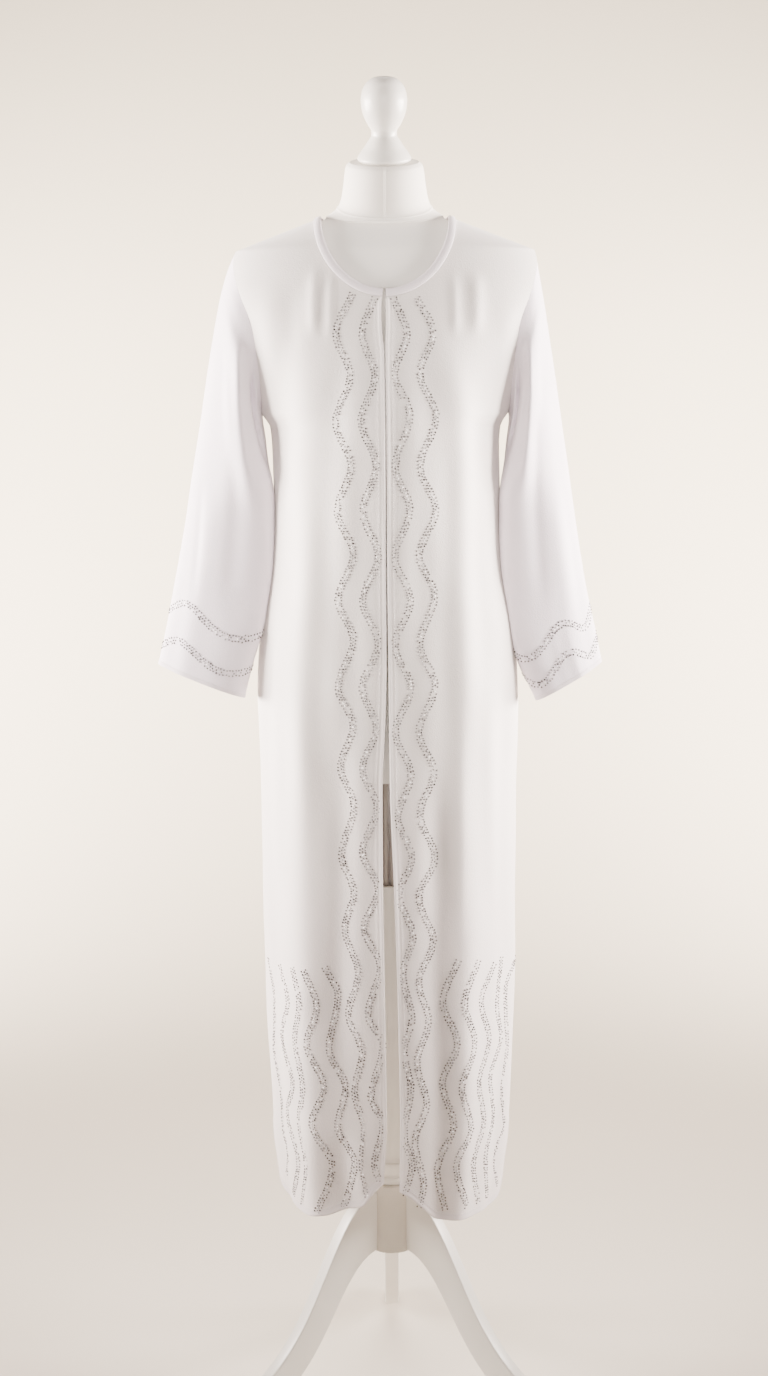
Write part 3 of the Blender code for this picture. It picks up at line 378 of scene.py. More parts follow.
# height, half width, depth in front and depth behind of the form
FORM = (
    (0.900, 0.1440, 0.0920, 0.1140),
    (0.908, 0.1500, 0.0965, 0.1190),
    (0.950, 0.1570, 0.1000, 0.1230),
    (1.050, 0.1430, 0.0930, 0.1070),
    (1.150, 0.1180, 0.0830, 0.0850),
    (1.250, 0.1240, 0.0960, 0.0840),
    (1.320, 0.1370, 0.1190, 0.0930),
    (1.372, 0.1440, 0.1305, 0.1000),
    (1.440, 0.1510, 0.1165, 0.1070),
    (1.500, 0.1640, 0.1020, 0.1060),
    (1.550, 0.1780, 0.0910, 0.0980),
    (1.585, 0.1870, 0.0830, 0.0890),
    (1.600, 0.1890, 0.0790, 0.0845),
    (1.615, 0.1640, 0.0720, 0.0780),
    (1.630, 0.1270, 0.0660, 0.0720),
    (1.643, 0.0910, 0.0590, 0.0640),
    (1.652, 0.0725, 0.0550, 0.0590),
    (1.660, 0.0630, 0.0530, 0.0560),
    (1.670, 0.0580, 0.0520, 0.0540),
    (1.688, 0.0545, 0.0500, 0.0515),
    (1.706, 0.0522, 0.0480, 0.0495),
    (1.715, 0.0500, 0.0458, 0.0475),
    (1.719, 0.0455, 0.0412, 0.0428),
)
NECK_FREE_Z, NECK_FREE_REACH, NECK_FREE_SPARE = 1.6436, 0.008, 0.012
NECK_PIVOT_Z, NECK_LEAN, NECK_LEAN_REACH, LEAN_FRONT = 1.648, math.radians(16), 0.032, 0.050
LEAN_EARLY = 0.050       # how much lower the lean begins in front
NECK_SEAM_Z, NECK_SEAM_DIP = 1.6610, 0.0085
GROOVE_DEPTH, GROOVE_WIDTH = 0.0120, 0.0080    # hollow behind the gap between the fronts
SEAM_RISE, SEAM_WIDTH = 0.0010, 0.0011
KNIT = 0.0011            # spacing of the jersey's wales


def read(table, at):
    """Every column of a table after its first, as a smooth curve that never overshoots its rows.

    Between two rows it is a cubic whose slope at a row is the weighted harmonic mean of the slopes
    on either side, or level where they differ in sign.
    """
    xs, *columns = np.array(table).T
    at = np.clip(np.asarray(at, float), xs[0], xs[-1])
    steps = np.diff(xs)
    i = np.clip(np.searchsorted(xs, at) - 1, 0, len(xs) - 2)
    step, u = steps[i], (at - xs[i]) / steps[i]
    heavy, light = 2 * steps[1:] + steps[:-1], steps[1:] + 2 * steps[:-1]
    curves = []
    for ys in columns:
        rates = np.diff(ys) / steps
        before, after = rates[:-1], rates[1:]
        rising = before * after > 0
        mean = (heavy + light) / (heavy / np.where(rising, before, 1) + light / np.where(rising, after, 1))
        slopes = np.concatenate([rates[:1], np.where(rising, mean, 0), rates[-1:]])
        start = (1 + 2 * u) * (1 - u) ** 2 * ys[i] + u * (1 - u) ** 2 * step * slopes[i]
        end = u * u * (3 - 2 * u) * ys[i + 1] + u * u * (u - 1) * step * slopes[i + 1]
        curves.append(start + end)
    return curves


def ease(x):
    """Smooth rise from 0 to 1: 3x^2 - 2x^3."""
    x = np.clip(x, 0, 1)
    return x * x * (3 - 2 * x)


def section_point(angle, half_width, front, back, power):
    """Superellipse in plan by its angle, with its own depth in front and behind."""
    side, ahead = np.sin(np.radians(angle)), np.cos(np.radians(angle))
    depth = np.where(ahead > 0, front, back)
    reach = ((np.abs(side) / half_width) ** power + (np.abs(ahead) / depth) ** power) ** (-1 / power)
    return reach * side, -reach * ahead


def cloth_section(z):
    """Half width, depths and roundness of the cloth's section at a height.

    Above the underarm the width is what takes the section through the armhole seam, whose own depth
    is an ellipse from underarm to shoulder tip, and above that the shoulder seam's straight slope.
    """
    below = z < UNDERARM_Z
    half_width, front, back, power = read(BODY, z)
    yoke_front, yoke_back = read(YOKE, z)
    front, back = np.where(below, front, yoke_front), np.where(below, back, yoke_back)
    middle, half = (SHOULDER_Z + UNDERARM_Z) / 2, (SHOULDER_Z - UNDERARM_Z) / 2
    depth = ARMHOLE_DEPTH * np.sqrt(np.clip(1 - ((z - middle) / half) ** 2, 0, 1))
    armhole = read(ARMHOLE, z)[0] / np.sqrt(1 - (depth / front) ** 2)
    shoulder = NECK_X + (NECK_Z - z) / SHOULDER_SLOPE
    half_width = np.where(below, half_width, np.where(z < SHOULDER_Z, armhole, shoulder))
    return half_width, front, back, power


def lean(points):
    """Turn what lies above the neck's pivot forward about it, easing in over 32 mm, or 82 mm in front."""
    rise = points[..., 2] - NECK_PIVOT_Z
    early = LEAN_EARLY * ease(-points[..., 1] / LEAN_FRONT)
    turn = NECK_LEAN * ease((rise + early) / (NECK_LEAN_REACH + early))
    y = points[..., 1] * np.cos(turn) - rise * np.sin(turn)
    z = NECK_PIVOT_Z + rise * np.cos(turn) + points[..., 1] * np.sin(turn)
    return np.stack([points[..., 0], y, z], -1)


def form_points():
    """Ellipses at each height, held inside the cloth, with seam ridges on the neck and a groove below.

    Each lifts or sinks the surface by its depth times exp(-(distance / width)^2). The groove runs down
    centre front under the cloth, where the padding is joined.
    """
    beside = np.array([-4.0, -2.4, -1.6, -0.8, 0, 0.8, 1.6, 2.4, 4.0])
    angle = np.unique(np.concatenate([np.linspace(0, 360, 161)[:-1], beside % 360, 180 + beside]))[None, :]
    fine = np.arange(1.641, 1.666, 0.0005)
    heights = np.unique(np.concatenate([np.linspace(0.900, 1.640, 150), fine, np.linspace(1.666, 1.719, 50)]))
    z = heights[:, None] + 0 * angle
    own = read(FORM, z)
    limits = cloth_section(np.clip(z + WALL + SEAT, None, YOKE[-1][0]))
    inset = np.array([0, HOLLOW, HOLLOW]) + WALL + SEAT
    spare = NECK_FREE_SPARE * ease((z - NECK_FREE_Z) / NECK_FREE_REACH)
    sizes = [np.minimum(mine, limit - back_off + spare) for mine, limit, back_off in zip(own, limits, inset)]
    x, y = section_point(angle, *sizes, 2.0)
    base_seam = NECK_SEAM_Z - NECK_SEAM_DIP * np.clip(np.cos(np.radians(angle)), -0.3, 1)
    round_base = np.exp(-((z - base_seam) / SEAM_WIDTH) ** 2)
    up_neck = np.exp(-(x / SEAM_WIDTH) ** 2) * ease((z - base_seam) / 0.001)
    groove = np.exp(-(x / GROOVE_WIDTH) ** 2) * (y < 0) * ease((1.549 - z) / 0.004) * ease((z - 1.455) / 0.03)
    lifted = SEAM_RISE * np.maximum(round_base, up_neck * 0.6) - GROOVE_DEPTH * groove
    sunk = 1 + lifted / np.hypot(x, y)
    return AXIS + lean(np.stack([x * sunk, y * sunk, z], -1))


def knitted_jersey():
    """Cream cotton jersey: matte, with a soft fuzz and fine upright wales that barely show.

    It is drawn lighter over the chest only as painted light, because the lights here leave the chest too dark.
    """
    material, tree, shader = new_material(
        "cream_cotton_jersey", {"Roughness": 0.88, "IOR": 1.46, "Sheen Weight": 0.25, "Sheen Roughness": 0.5})
    place = add(tree, "ShaderNodeTexCoord").outputs["Object"]
    cloud = add(tree, "ShaderNodeTexNoise", {"Scale": 1 / 0.06, "Detail": 3.0}, {"Vector": place})
    colour = add(tree, "ShaderNodeMix", {6: linear("#F7F2EA"), 7: linear("#F0EAE1")},
                 {0: cloud.outputs["Fac"]}, data_type="RGBA")
    height = add(tree, "ShaderNodeSeparateXYZ", links={"Vector": place}).outputs["Z"]
    # painted light: below 1.63 m the jersey is lightened, as the lights leave the chest too dark
    chest_painted_light_share = add(tree, "ShaderNodeMapRange", {"From Min": 1.65, "From Max": 1.63, "To Max": 0.8},
               {"Value": height})
    chest_painted_light = add(tree, "ShaderNodeMix", {7: linear("#FFFDF8")},
                    {0: chest_painted_light_share.outputs["Result"], 6: colour.outputs[2]}, data_type="RGBA")
    tree.links.new(chest_painted_light.outputs[2], shader.inputs["Base Color"])
    wales = add(tree, "ShaderNodeMapping", {"Scale": (1, 1, 0.3)}, {"Vector": place})
    knit = add(tree, "ShaderNodeTexNoise", {"Scale": 1 / KNIT, "Detail": 1.0},
               {"Vector": wales.outputs["Vector"]})
    bump = add(tree, "ShaderNodeBump", {"Strength": 0.35, "Distance": 0.0002},
               {"Height": knit.outputs["Fac"]})
    tree.links.new(bump.outputs["Normal"], shader.inputs["Normal"])
    return material


form = solid("padded_form", form_points(), knitted_jersey(), "cream_jersey", "form_body")

# Finial
# A turned beech knob with a flared foot, screwed down on the neck's top, which it covers.
# It leans forward with the neck and has the same ivory paint as the stand.
# distance along its axis and radius
FINIAL = (
    (0.0000, 0.0318),
    (0.0012, 0.0322),
    (0.0022, 0.0346),
    (0.0045, 0.0353),
    (0.0075, 0.0342),
    (0.0124, 0.0312),
    (0.0180, 0.0268),
    (0.0252, 0.0222),
    (0.0302, 0.0188),
    (0.0345, 0.0166),
    (0.0395, 0.0169),
    (0.0466, 0.0210),
    (0.0540, 0.0247),
    (0.0611, 0.0276),
    (0.0700, 0.0296),
    (0.0782, 0.0302),
    (0.0880, 0.0288),
    (0.0967, 0.0250),
    (0.1037, 0.0180),
    (0.1068, 0.0105),
    (0.1078, 0.0030),
)
along = np.unique(np.concatenate([np.linspace(0, 0.0075, 16), np.linspace(0.0075, 0.1078, 90)]))
rings = turned(np.stack([along, read(FINIAL, along)[0]], -1)) - AXIS
tilt = np.array([[1, 0, 0], [0, math.cos(NECK_LEAN), -math.sin(NECK_LEAN)],
                 [0, math.sin(NECK_LEAN), math.cos(NECK_LEAN)]])
finial_seat = lean(np.array([0, 0, FORM[-1][0] + 0.0003]))
solid("turned_finial", AXIS + finial_seat + rings @ tilt.T, paint, "ivory_paint", "neck_finial")

# Fronts
# Two panels of washed polyester crepe, hung from the shoulder and side seams, which meet at the neck.
# Their centre edges and rounded hems are turned in once, 10 mm wide, and stitched down by machine.
SEAM = 0.0003
NECK_DROP, BACK_NECK_DROP = 0.1046, 0.012
VENT_TOP, VENT_ANGLE, VENT_FADE = 0.405, 0.9, 0.050
TURNING = 0.0100         # width of a turned edge
TURNED_RISE = 0.00035    # how far the doubled cloth stands out there
BEYOND_EDGE = 0.05       # distance from an edge that counts as far from any
ROLL, ROLL_AT, ROLL_WIDTH = 0.0012, 0.0022, 0.0020    # soft roll along the very edge
TURN_STEP, RISE_STEP = 0.3, 0.0015
# height of the centre edges and how far each lies from the middle
OPENING = (
    (0.290, -0.0108, 0.0105),
    (0.350, -0.0104, 0.0107),
    (0.439, -0.0058, 0.0118),
    (0.613, -0.0072, 0.0096),
    (0.768, -0.0088, 0.0058),
    (0.900, -0.0084, 0.0014),
    (0.980, -0.0046, 0.0008),
    (1.070, -0.0020, 0.0003),
    (1.200, -0.0017, -0.0002),
    (1.400, -0.0018, -0.0004),
    (1.470, -0.0021, -0.0006),
    (1.484, -0.0036, -0.0002),
    (1.505, -0.0052, 0.0006),
    (1.528, -0.0052, 0.0007),
    (1.539, -0.0044, 0.0005),
    (1.548, -0.0032, 0.0005),
)
# share of the way from the centre edge to the side corner and height of the left and right hem
FRONT_HEM = (
    (0.00, 0.353, 0.341),
    (0.08, 0.338, 0.330),
    (0.16, 0.318, 0.316),
    (0.28, 0.312, 0.296),
    (0.42, 0.301, 0.294),
    (0.56, 0.297, 0.2935),
    (0.70, 0.299, 0.2925),
    (0.84, 0.305, 0.296),
    (0.94, 0.317, 0.309),
    (1.00, 0.337, 0.331),
)
# angle, width in degrees, depth and top of the long folds, which are full at the hem
FOLDS = (
    (-47.0, 9.0, 0.0060, 1.52),
    (-27.0, 8.0, -0.0035, 1.05),
    (-70.0, 8.0, -0.0050, 1.18),
    (27.0, 7.0, -0.0045, 0.95),
    (42.0, 8.0, 0.0060, 1.53),
    (66.0, 9.0, -0.0050, 1.10),
    (112.0, 9.0, -0.0060, 1.20),
    (131.0, 9.0, 0.0080, 1.36),
    (152.0, 8.0, -0.0050, 1.10),
    (171.0, 8.0, 0.0060, 1.30),
    (-111.0, 9.0, -0.0060, 1.15),
    (-129.0, 9.0, 0.0075, 1.38),
    (-149.0, 8.0, -0.0055, 1.05),
    (-170.0, 7.0, 0.0055, 1.25),
)
FOLD_FADE = 0.16
# creases: angle and height at the upper and lower end, width in degrees, depth
CREASES = (
    (-66.5, 1.574, -65.7, 1.420, 5.5, 0.0022),
    (-49.2, 1.585, -44.5, 1.480, 3.2, 0.0030),
    (-39.8, 1.575, -35.8, 1.480, 2.6, 0.0022),
    (-57.5, 1.565, -54.5, 1.455, 4.0, -0.0010),
    (57.6, 1.580, 53.7, 1.480, 3.2, 0.0030),
    (47.6, 1.575, 43.3, 1.480, 2.6, 0.0023),
    (70.0, 1.560, 68.0, 1.390, 5.5, 0.0022),
    (-84.0, 1.375, -62.0, 1.285, 8.0, -0.0018),
    (-80.0, 1.350, -62.0, 1.200, 7.0, 0.0014),
    (84.0, 1.375, 64.0, 1.280, 8.0, -0.0018),
    (79.0, 1.345, 64.0, 1.190, 7.0, 0.0014),
    (-46.6, 1.060, -41.2, 0.640, 9.0, 0.0022),
    (-55.1, 1.060, -55.8, 0.860, 8.0, -0.0020),
    (-36.6, 1.010, -38.2, 0.680, 10.0, -0.0020),
    (-47.9, 0.670, -49.4, 0.480, 7.0, 0.0020),
    (38.9, 1.060, 38.9, 0.640, 3.5, 0.0012),
    (54.2, 1.060, 61.1, 0.660, 5.0, 0.0018),
    (36.3, 0.660, 37.1, 0.410, 6.0, 0.0020),
    (48.3, 0.960, 48.7, 0.670, 10.0, -0.0020),
    (-22.0, 0.430, -19.0, 0.300, 6.0, 0.0020),
    (-29.0, 0.440, -27.0, 0.300, 6.0, -0.0016),
    (118.0, 1.570, 112.0, 1.430, 7.0, 0.0012),
    (-117.0, 1.570, -112.0, 1.420, 6.0, 0.0013),
    (100.0, 1.370, 122.0, 1.250, 8.0, -0.0018),
    (-99.0, 1.370, -121.0, 1.240, 8.0, -0.0018),
    (144.0, 1.060, 138.0, 0.700, 6.0, 0.0018),
    (-141.0, 1.020, -147.0, 0.640, 7.0, 0.0018),
    (160.0, 0.900, 163.0, 0.560, 8.0, -0.0020),
    (-161.0, 0.860, -157.0, 0.480, 8.0, -0.0018),
    (98.0, 0.980, 101.0, 0.620, 6.0, 0.0016),
    (-98.0, 1.020, -100.0, 0.600, 6.0, 0.0016),
)
CREASE_FADE = 0.35       # share of a crease over which it rises and dies away
DRIFT = 0.00035          # height of the slight unevenness of hanging cloth
# lengths up from the hem and across from the centre edge of the grid's first lines, then even ones
HEM_LINES = np.array([0, 1.2, 3.0, 5.5, 8.0, 9.2, 10.0, 10.8, 12.0, 14.5]) / 1000
CLIMB = np.concatenate([HEM_LINES / 1.07, np.linspace(0.018, 1, 158)])
ACROSS = np.concatenate([HEM_LINES / 0.27, np.linspace(0.065, 1, 76)])
LOWER_ARMHOLE, NECKLINE = 24, 60
ARMHOLE_STEPS = LOWER_ARMHOLE + NECKLINE


def smooth_cloth(angle, z):
    """Cloth without folds: the rounded section at each height."""
    x, y = section_point(angle, *cloth_section(z))
    return np.stack([x, y, z + 0 * x], -1)


def normals(surface, angle, z):
    """Outward unit normals of a surface of angle and height, from small steps either way."""
    turn = surface(angle + TURN_STEP, z) - surface(angle - TURN_STEP, z)
    rise = surface(angle, z + RISE_STEP) - surface(angle, z - RISE_STEP)
    facing = np.cross(turn, rise)
    return facing / np.linalg.norm(facing, axis=-1, keepdims=True)


def bump_across(angle, centre, width):
    """Soft bell across a fold: exp(-(angle from its line / width)^2)."""
    return np.exp(-(((angle - centre + 180) % 360 - 180) / width) ** 2)


def hang(angle, z):
    """Height of folds, creases and unevenness: bells across their lines, eased in and out along them."""
    total = 0 * angle * z
    for centre, width, depth, top in FOLDS:
        total = total + depth * bump_across(angle, centre, width) * ease((top - z) / FOLD_FADE)
    for angle_up, z_up, angle_down, z_down, width, depth in CREASES:
        along = (z_up - z) / (z_up - z_down)
        centre = angle_up + (angle_down - angle_up) * np.clip(along, 0, 1)
        fade = ease(along / CREASE_FADE) * ease((1 - along) / CREASE_FADE)
        total = total + depth * bump_across(angle, centre, width) * fade
    turn = np.radians(angle)
    for count, rate, phase in ((5, 11, 0.3), (9, -17, 1.9), (14, 23, 4.1), (21, -9, 2.6), (3, 37, 5.2)):
        total = total + DRIFT * np.sin(count * turn + rate * z + phase) * ease((1.60 - z) / 0.25)
    return total


def cloth(angle, z):
    """Outer face of every panel: the smooth cloth moved out along its normals by its folds."""
    return smooth_cloth(angle, z) + normals(smooth_cloth, angle, z) * hang(angle, z)[..., None]


def angle_at(x, z):
    """Angle of the point of the front that lies at x on the section at height z."""
    half_width, front, _, power = cloth_section(z)
    share = np.clip(np.abs(x) / half_width, 0, 1)
    return np.degrees(np.arctan2(x, front * (1 - share ** power) ** (1 / power)))


def coons(bottom, top, left, right, across, up):
    """Grid that fits four curves of (angle, height): the two ruled blends less the corners' blend."""
    u, v = across[None, :, None], up[:, None, None]
    ruled = (1 - v) * bottom[None] + v * top[None] + (1 - u) * left[:, None] + u * right[:, None]
    lower, upper = (1 - u) * bottom[0] + u * bottom[-1], (1 - u) * top[0] + u * top[-1]
    return ruled - (1 - v) * lower - v * upper


def armhole_heights():
    """Heights of the armhole's points from the underarm to the shoulder tip, even round an ellipse."""
    turn = np.linspace(math.pi, 0, ARMHOLE_STEPS + 1)
    return (SHOULDER_Z + UNDERARM_Z) / 2 + (SHOULDER_Z - UNDERARM_Z) / 2 * np.cos(turn)


def side_edge(hem_z, behind):
    """Side seam and armhole of a panel as (angle, height), on the right of the body."""
    away = 1 if behind else -1
    seam_z = hem_z + CLIMB * (UNDERARM_Z - hem_z)
    seam = np.stack([90 + away * VENT_ANGLE * ease((VENT_TOP - seam_z) / VENT_FADE), seam_z], -1)
    z = armhole_heights()[1:]
    x = read(ARMHOLE, z)[0]
    half_width, front, back, _ = cloth_section(z)
    depth = (back if behind else front) * np.sqrt(np.clip(1 - (x / half_width) ** 2, 0, 1))
    depth[-1] = 0
    armhole = np.stack([np.degrees(np.arctan2(x, -away * depth)), z], -1)
    return np.concatenate([seam, armhole])


def front_neckline(width, drop, z_top):
    """Quarter ellipse from centre front up to the neck point, as (x, height), crowded to the shoulder."""
    turn = math.pi / 2 * (1 - np.linspace(1, 0, NECKLINE + 1) ** 1.25)
    return width * np.sin(turn), z_top - drop * np.cos(turn)


def row_shares():
    """Share of the way up of each row, from its height on the side seam and the armhole."""
    return np.concatenate([CLIMB * 0.8, 0.8 + 0.2 * np.linspace(0, 1, ARMHOLE_STEPS + 1)[1:]])


def front_grid(side):
    """Grid of (angle, height) for one front, worked out on the right of the body."""
    hand, which = (-1, 0) if side == "left" else (1, 1)
    hem_z = read(FRONT_HEM, ACROSS)[which]
    rise = np.linspace(UNDERARM_Z, NECK_Z - NECK_DROP, LOWER_ARMHOLE + 1)[1:]
    edge_z = np.concatenate([hem_z[0] + CLIMB * (UNDERARM_Z - hem_z[0]), rise])
    edge_x = hand * read(OPENING, edge_z)[which]
    neck_x, neck_z = front_neckline(NECK_X, NECK_DROP, NECK_Z)
    inner_x = np.concatenate([edge_x, np.maximum(neck_x[1:], edge_x[-1])])
    inner_z = np.concatenate([edge_z, neck_z[1:]])
    inner = np.stack([angle_at(inner_x, inner_z), inner_z], -1)
    inner[-1, 0] = 90
    outer = side_edge(hem_z[-1], behind=False)
    hem = np.stack([inner[0, 0] + ACROSS * (outer[0, 0] - inner[0, 0]), hem_z], -1)
    shoulder = np.stack([0 * ACROSS + 90, NECK_Z + ACROSS * (SHOULDER_Z - NECK_Z)], -1)
    return coons(hem, shoulder, inner, outer, ACROSS, row_shares())


def distance_from(points, line):
    """Distance of each point of a grid from the tangent of an edge row or column, where it meets it."""
    tangent = np.gradient(line, axis=1 if len(line) == 1 else 0)
    tangent /= np.linalg.norm(tangent, axis=-1, keepdims=True)
    return np.linalg.norm(np.cross(points - line, tangent), axis=-1)


def wall(name, outer, inner, closed, attributes, material, slot, *nodes):
    """Cloth wall: outer and inner grid joined by a strip along every open edge."""
    rows, columns = outer.shape[:2]
    here = np.arange(rows * columns).reshape(rows, columns)
    if closed:
        here = np.concatenate([here, here[:, :1]], 1)
    half = rows * columns
    quads = np.stack([here[:-1, :-1], here[:-1, 1:], here[1:, 1:], here[1:, :-1]], -1).reshape(-1, 4)
    if closed:
        rims = [here[0], here[-1, ::-1]]
    else:
        rims = [np.concatenate([here[0], here[1:, -1], here[-1, -2::-1], here[-2::-1, 0]])]
    strips = [np.stack([rim[1:], rim[:-1], half + rim[:-1], half + rim[1:]], -1) for rim in rims]
    faces = np.concatenate([quads, half + quads[:, ::-1], *strips])
    mesh = bpy.data.meshes.new(name)
    mesh.from_pydata(np.concatenate([outer, inner]).reshape(-1, 3).tolist(), [], faces.tolist())
    for label, values in attributes.items():
        layer = mesh.attributes.new(label, "FLOAT", "POINT")
        layer.data.foreach_set("value", np.tile(values.ravel(), 2).astype(np.float32))
    return settle(name, mesh, material, slot, *nodes, sharp=50)


def crepe(name, light, shade, low):
    """Washed polyester crepe: matte and soft, its twisted yarns crinkled into a fine pebble.

    The pebble is drawn at 1.6 mm, about twice the real one, so that it shows. Doubled cloth along a turned
    hem is a little darker, and the rolled centre edges are drawn lighter as a painted highlight. Below
    1.05 m the colour turns to its low one by 0.70 m, on the body a painted shade darker towards the hem.
    """
    material, tree, shader = new_material(
        name, {"Roughness": 0.82, "IOR": 1.47, "Sheen Weight": 0.25, "Sheen Roughness": 0.45})
    place = add(tree, "ShaderNodeTexCoord").outputs["Object"]
    height = add(tree, "ShaderNodeSeparateXYZ", links={"Vector": place}).outputs["Z"]
    # painted shade: below 1.05 m the colour turns to the low one, darker on the body's skirt towards the hem
    lower = add(tree, "ShaderNodeMapRange", {"From Min": 1.05, "From Max": 0.70}, {"Value": height},
                interpolation_type="SMOOTHSTEP")
    cloud = add(tree, "ShaderNodeTexNoise", {"Scale": 1 / 0.07, "Detail": 3.0}, {"Vector": place})
    body = add(tree, "ShaderNodeMix", {6: linear(light), 7: linear(low)},
               {0: lower.outputs["Result"]}, data_type="RGBA")
    mottled = add(tree, "ShaderNodeMix", {7: linear(shade)},
                  {0: cloud.outputs["Fac"], 6: body.outputs[2]}, data_type="RGBA")
    edge = add(tree, "ShaderNodeAttribute", attribute_name="to_edge").outputs["Fac"]
    doubled = add(tree, "ShaderNodeMapRange", {"From Min": 0.0106, "From Max": 0.0098, "To Max": 0.45},
                  {"Value": edge})
    banded = add(tree, "ShaderNodeMix", {7: linear("#D6CDD1")},
                 {0: doubled.outputs["Result"], 6: mottled.outputs[2]}, data_type="RGBA")
    # painted highlight: the rolled centre edges are lightened towards a paler colour
    rolled = add(tree, "ShaderNodeAttribute", attribute_name="centre_edge_painted_highlight").outputs["Fac"]
    share = add(tree, "ShaderNodeMath", {1: 0.3}, {0: rolled}, operation="MULTIPLY")
    with_painted_highlight = add(tree, "ShaderNodeMix", {7: linear("#FAF4F5")}, {0: share.outputs[0], 6: banded.outputs[2]},
                data_type="RGBA")
    tree.links.new(with_painted_highlight.outputs[2], shader.inputs["Base Color"])
    pebble = add(tree, "ShaderNodeTexVoronoi", {"Scale": 1 / 0.0016, "Randomness": 0.9}, {"Vector": place})
    slub = add(tree, "ShaderNodeTexNoise", {"Scale": 1 / 0.0045, "Detail": 3.0}, {"Vector": place})
    relief = add(tree, "ShaderNodeMath", links={0: pebble.outputs["Distance"], 1: slub.outputs["Fac"]},
                 operation="ADD")
    bump = add(tree, "ShaderNodeBump", {"Strength": 0.45, "Distance": 0.0004}, {"Height": relief.outputs[0]})
    tree.links.new(bump.outputs["Normal"], shader.inputs["Normal"])
    return material


body_crepe = crepe("washed_crepe", "#E9E4E1", "#E1DAD7", "#E6DDDD")
panels = {}


def panel(name, grid, hand, node):
    """A panel's grid set on the cloth, mirrored on the left, with its turned edges doubled."""
    is_front = node != "back"
    angle, z = hand * grid[..., 0], grid[..., 1]
    points, facing = cloth(angle, z), normals(cloth, angle, z)
    spare = 0 * z + BEYOND_EDGE
    to_edge = np.minimum(spare, distance_from(points, points[:1]))
    from_centre = spare.copy()
    below_neck = len(CLIMB) + LOWER_ARMHOLE
    if is_front:
        from_centre[:below_neck] = distance_from(points[:below_neck], points[:below_neck, :1])
    vent = z[:, -1] < VENT_TOP
    vented_columns = [-1] if is_front else [0, -1]
    for column in vented_columns:
        from_side = distance_from(points[vent], points[vent][:, column][:, None])
        to_edge[vent] = np.minimum(to_edge[vent], from_side)
    to_any = np.minimum(to_edge, from_centre)
    roll = ROLL * np.exp(-((to_any - ROLL_AT) / ROLL_WIDTH) ** 2)
    # painted highlight: how much the crepe lightens the rolled centre edges
    centre_edge_painted_highlight = np.exp(-((from_centre - ROLL_AT) / ROLL_WIDTH) ** 2)
    rise = TURNED_RISE * ease((TURNING + 0.0004 - to_any) / 0.0008)
    outer = points + facing * (rise + roll)[..., None]
    inner = points - facing * (WALL + rise)[..., None]
    shift = AXIS + np.array([0, -SEAM / 2 if is_front else SEAM / 2, 0])
    outer, inner = outer + shift, inner + shift
    if hand < 0:
        outer, inner, to_edge, centre_edge_painted_highlight = (grid[:, ::-1] for grid in (outer, inner, to_edge, centre_edge_painted_highlight))
    panels[name] = outer
    attributes = {"to_edge": to_edge, "centre_edge_painted_highlight": centre_edge_painted_highlight}
    return wall(name, outer, inner, False, attributes, body_crepe, "white_crepe", node)


left_front = panel("left_front", front_grid("left"), -1, "front_left")
right_front = panel("right_front", front_grid("right"), 1, "front_right")

# Back
# One panel of the same crepe, from side seam to side seam, with a shallow neckline cut into its top.
# Its hem is turned and stitched like the fronts', and its corners are rounded off at the side vents.
# share of the way from a side corner to centre back and height of the hem
BACK_HEM = (
    (0.00, 0.334),
    (0.06, 0.316),
    (0.16, 0.302),
    (0.40, 0.297),
    (1.00, 0.298),
)
SHOULDER_COLUMNS, BACK_NECK_COLUMNS = 22, 34


def back_neckline(rise):
    """Back neckline as (angle, height) from a neck point to centre back: it falls as sine squared."""
    share = np.linspace(0, 1, BACK_NECK_COLUMNS + 1)
    z = NECK_Z + rise - BACK_NECK_DROP * np.sin(share * math.pi / 2) ** 2
    return np.stack([90 + 90 * share, z], -1)


def back_grid():
    """Grid of (angle, height) for the back, from the right side (90) round to the left (270).

    The pull of its two side edges is eased across, so that no column passes beyond an armhole.
    """
    count = SHOULDER_COLUMNS + BACK_NECK_COLUMNS
    share = np.linspace(0, 1, count + 1)
    hem_z, = read(BACK_HEM, share)
    edge = side_edge(hem_z[0], behind=True)
    rise = np.linspace(0, 1, SHOULDER_COLUMNS + 1)[:-1]
    shoulder = np.stack([0 * rise + 90, SHOULDER_Z + rise * (NECK_Z - SHOULDER_Z)], -1)
    hem = np.stack([edge[0, 0] + share * (180 - edge[0, 0]), hem_z], -1)
    halves = [hem, np.concatenate([shoulder, back_neckline(0)])]
    whole = [np.concatenate([half, half[-2::-1] * (-1, 1) + (360, 0)]) for half in halves]
    across = np.linspace(0, 1, 2 * count + 1)
    return coons(*whole, edge, edge * (-1, 1) + (360, 0), ease(across), row_shares())


back_panel = panel("back_panel", back_grid(), 1, "back")

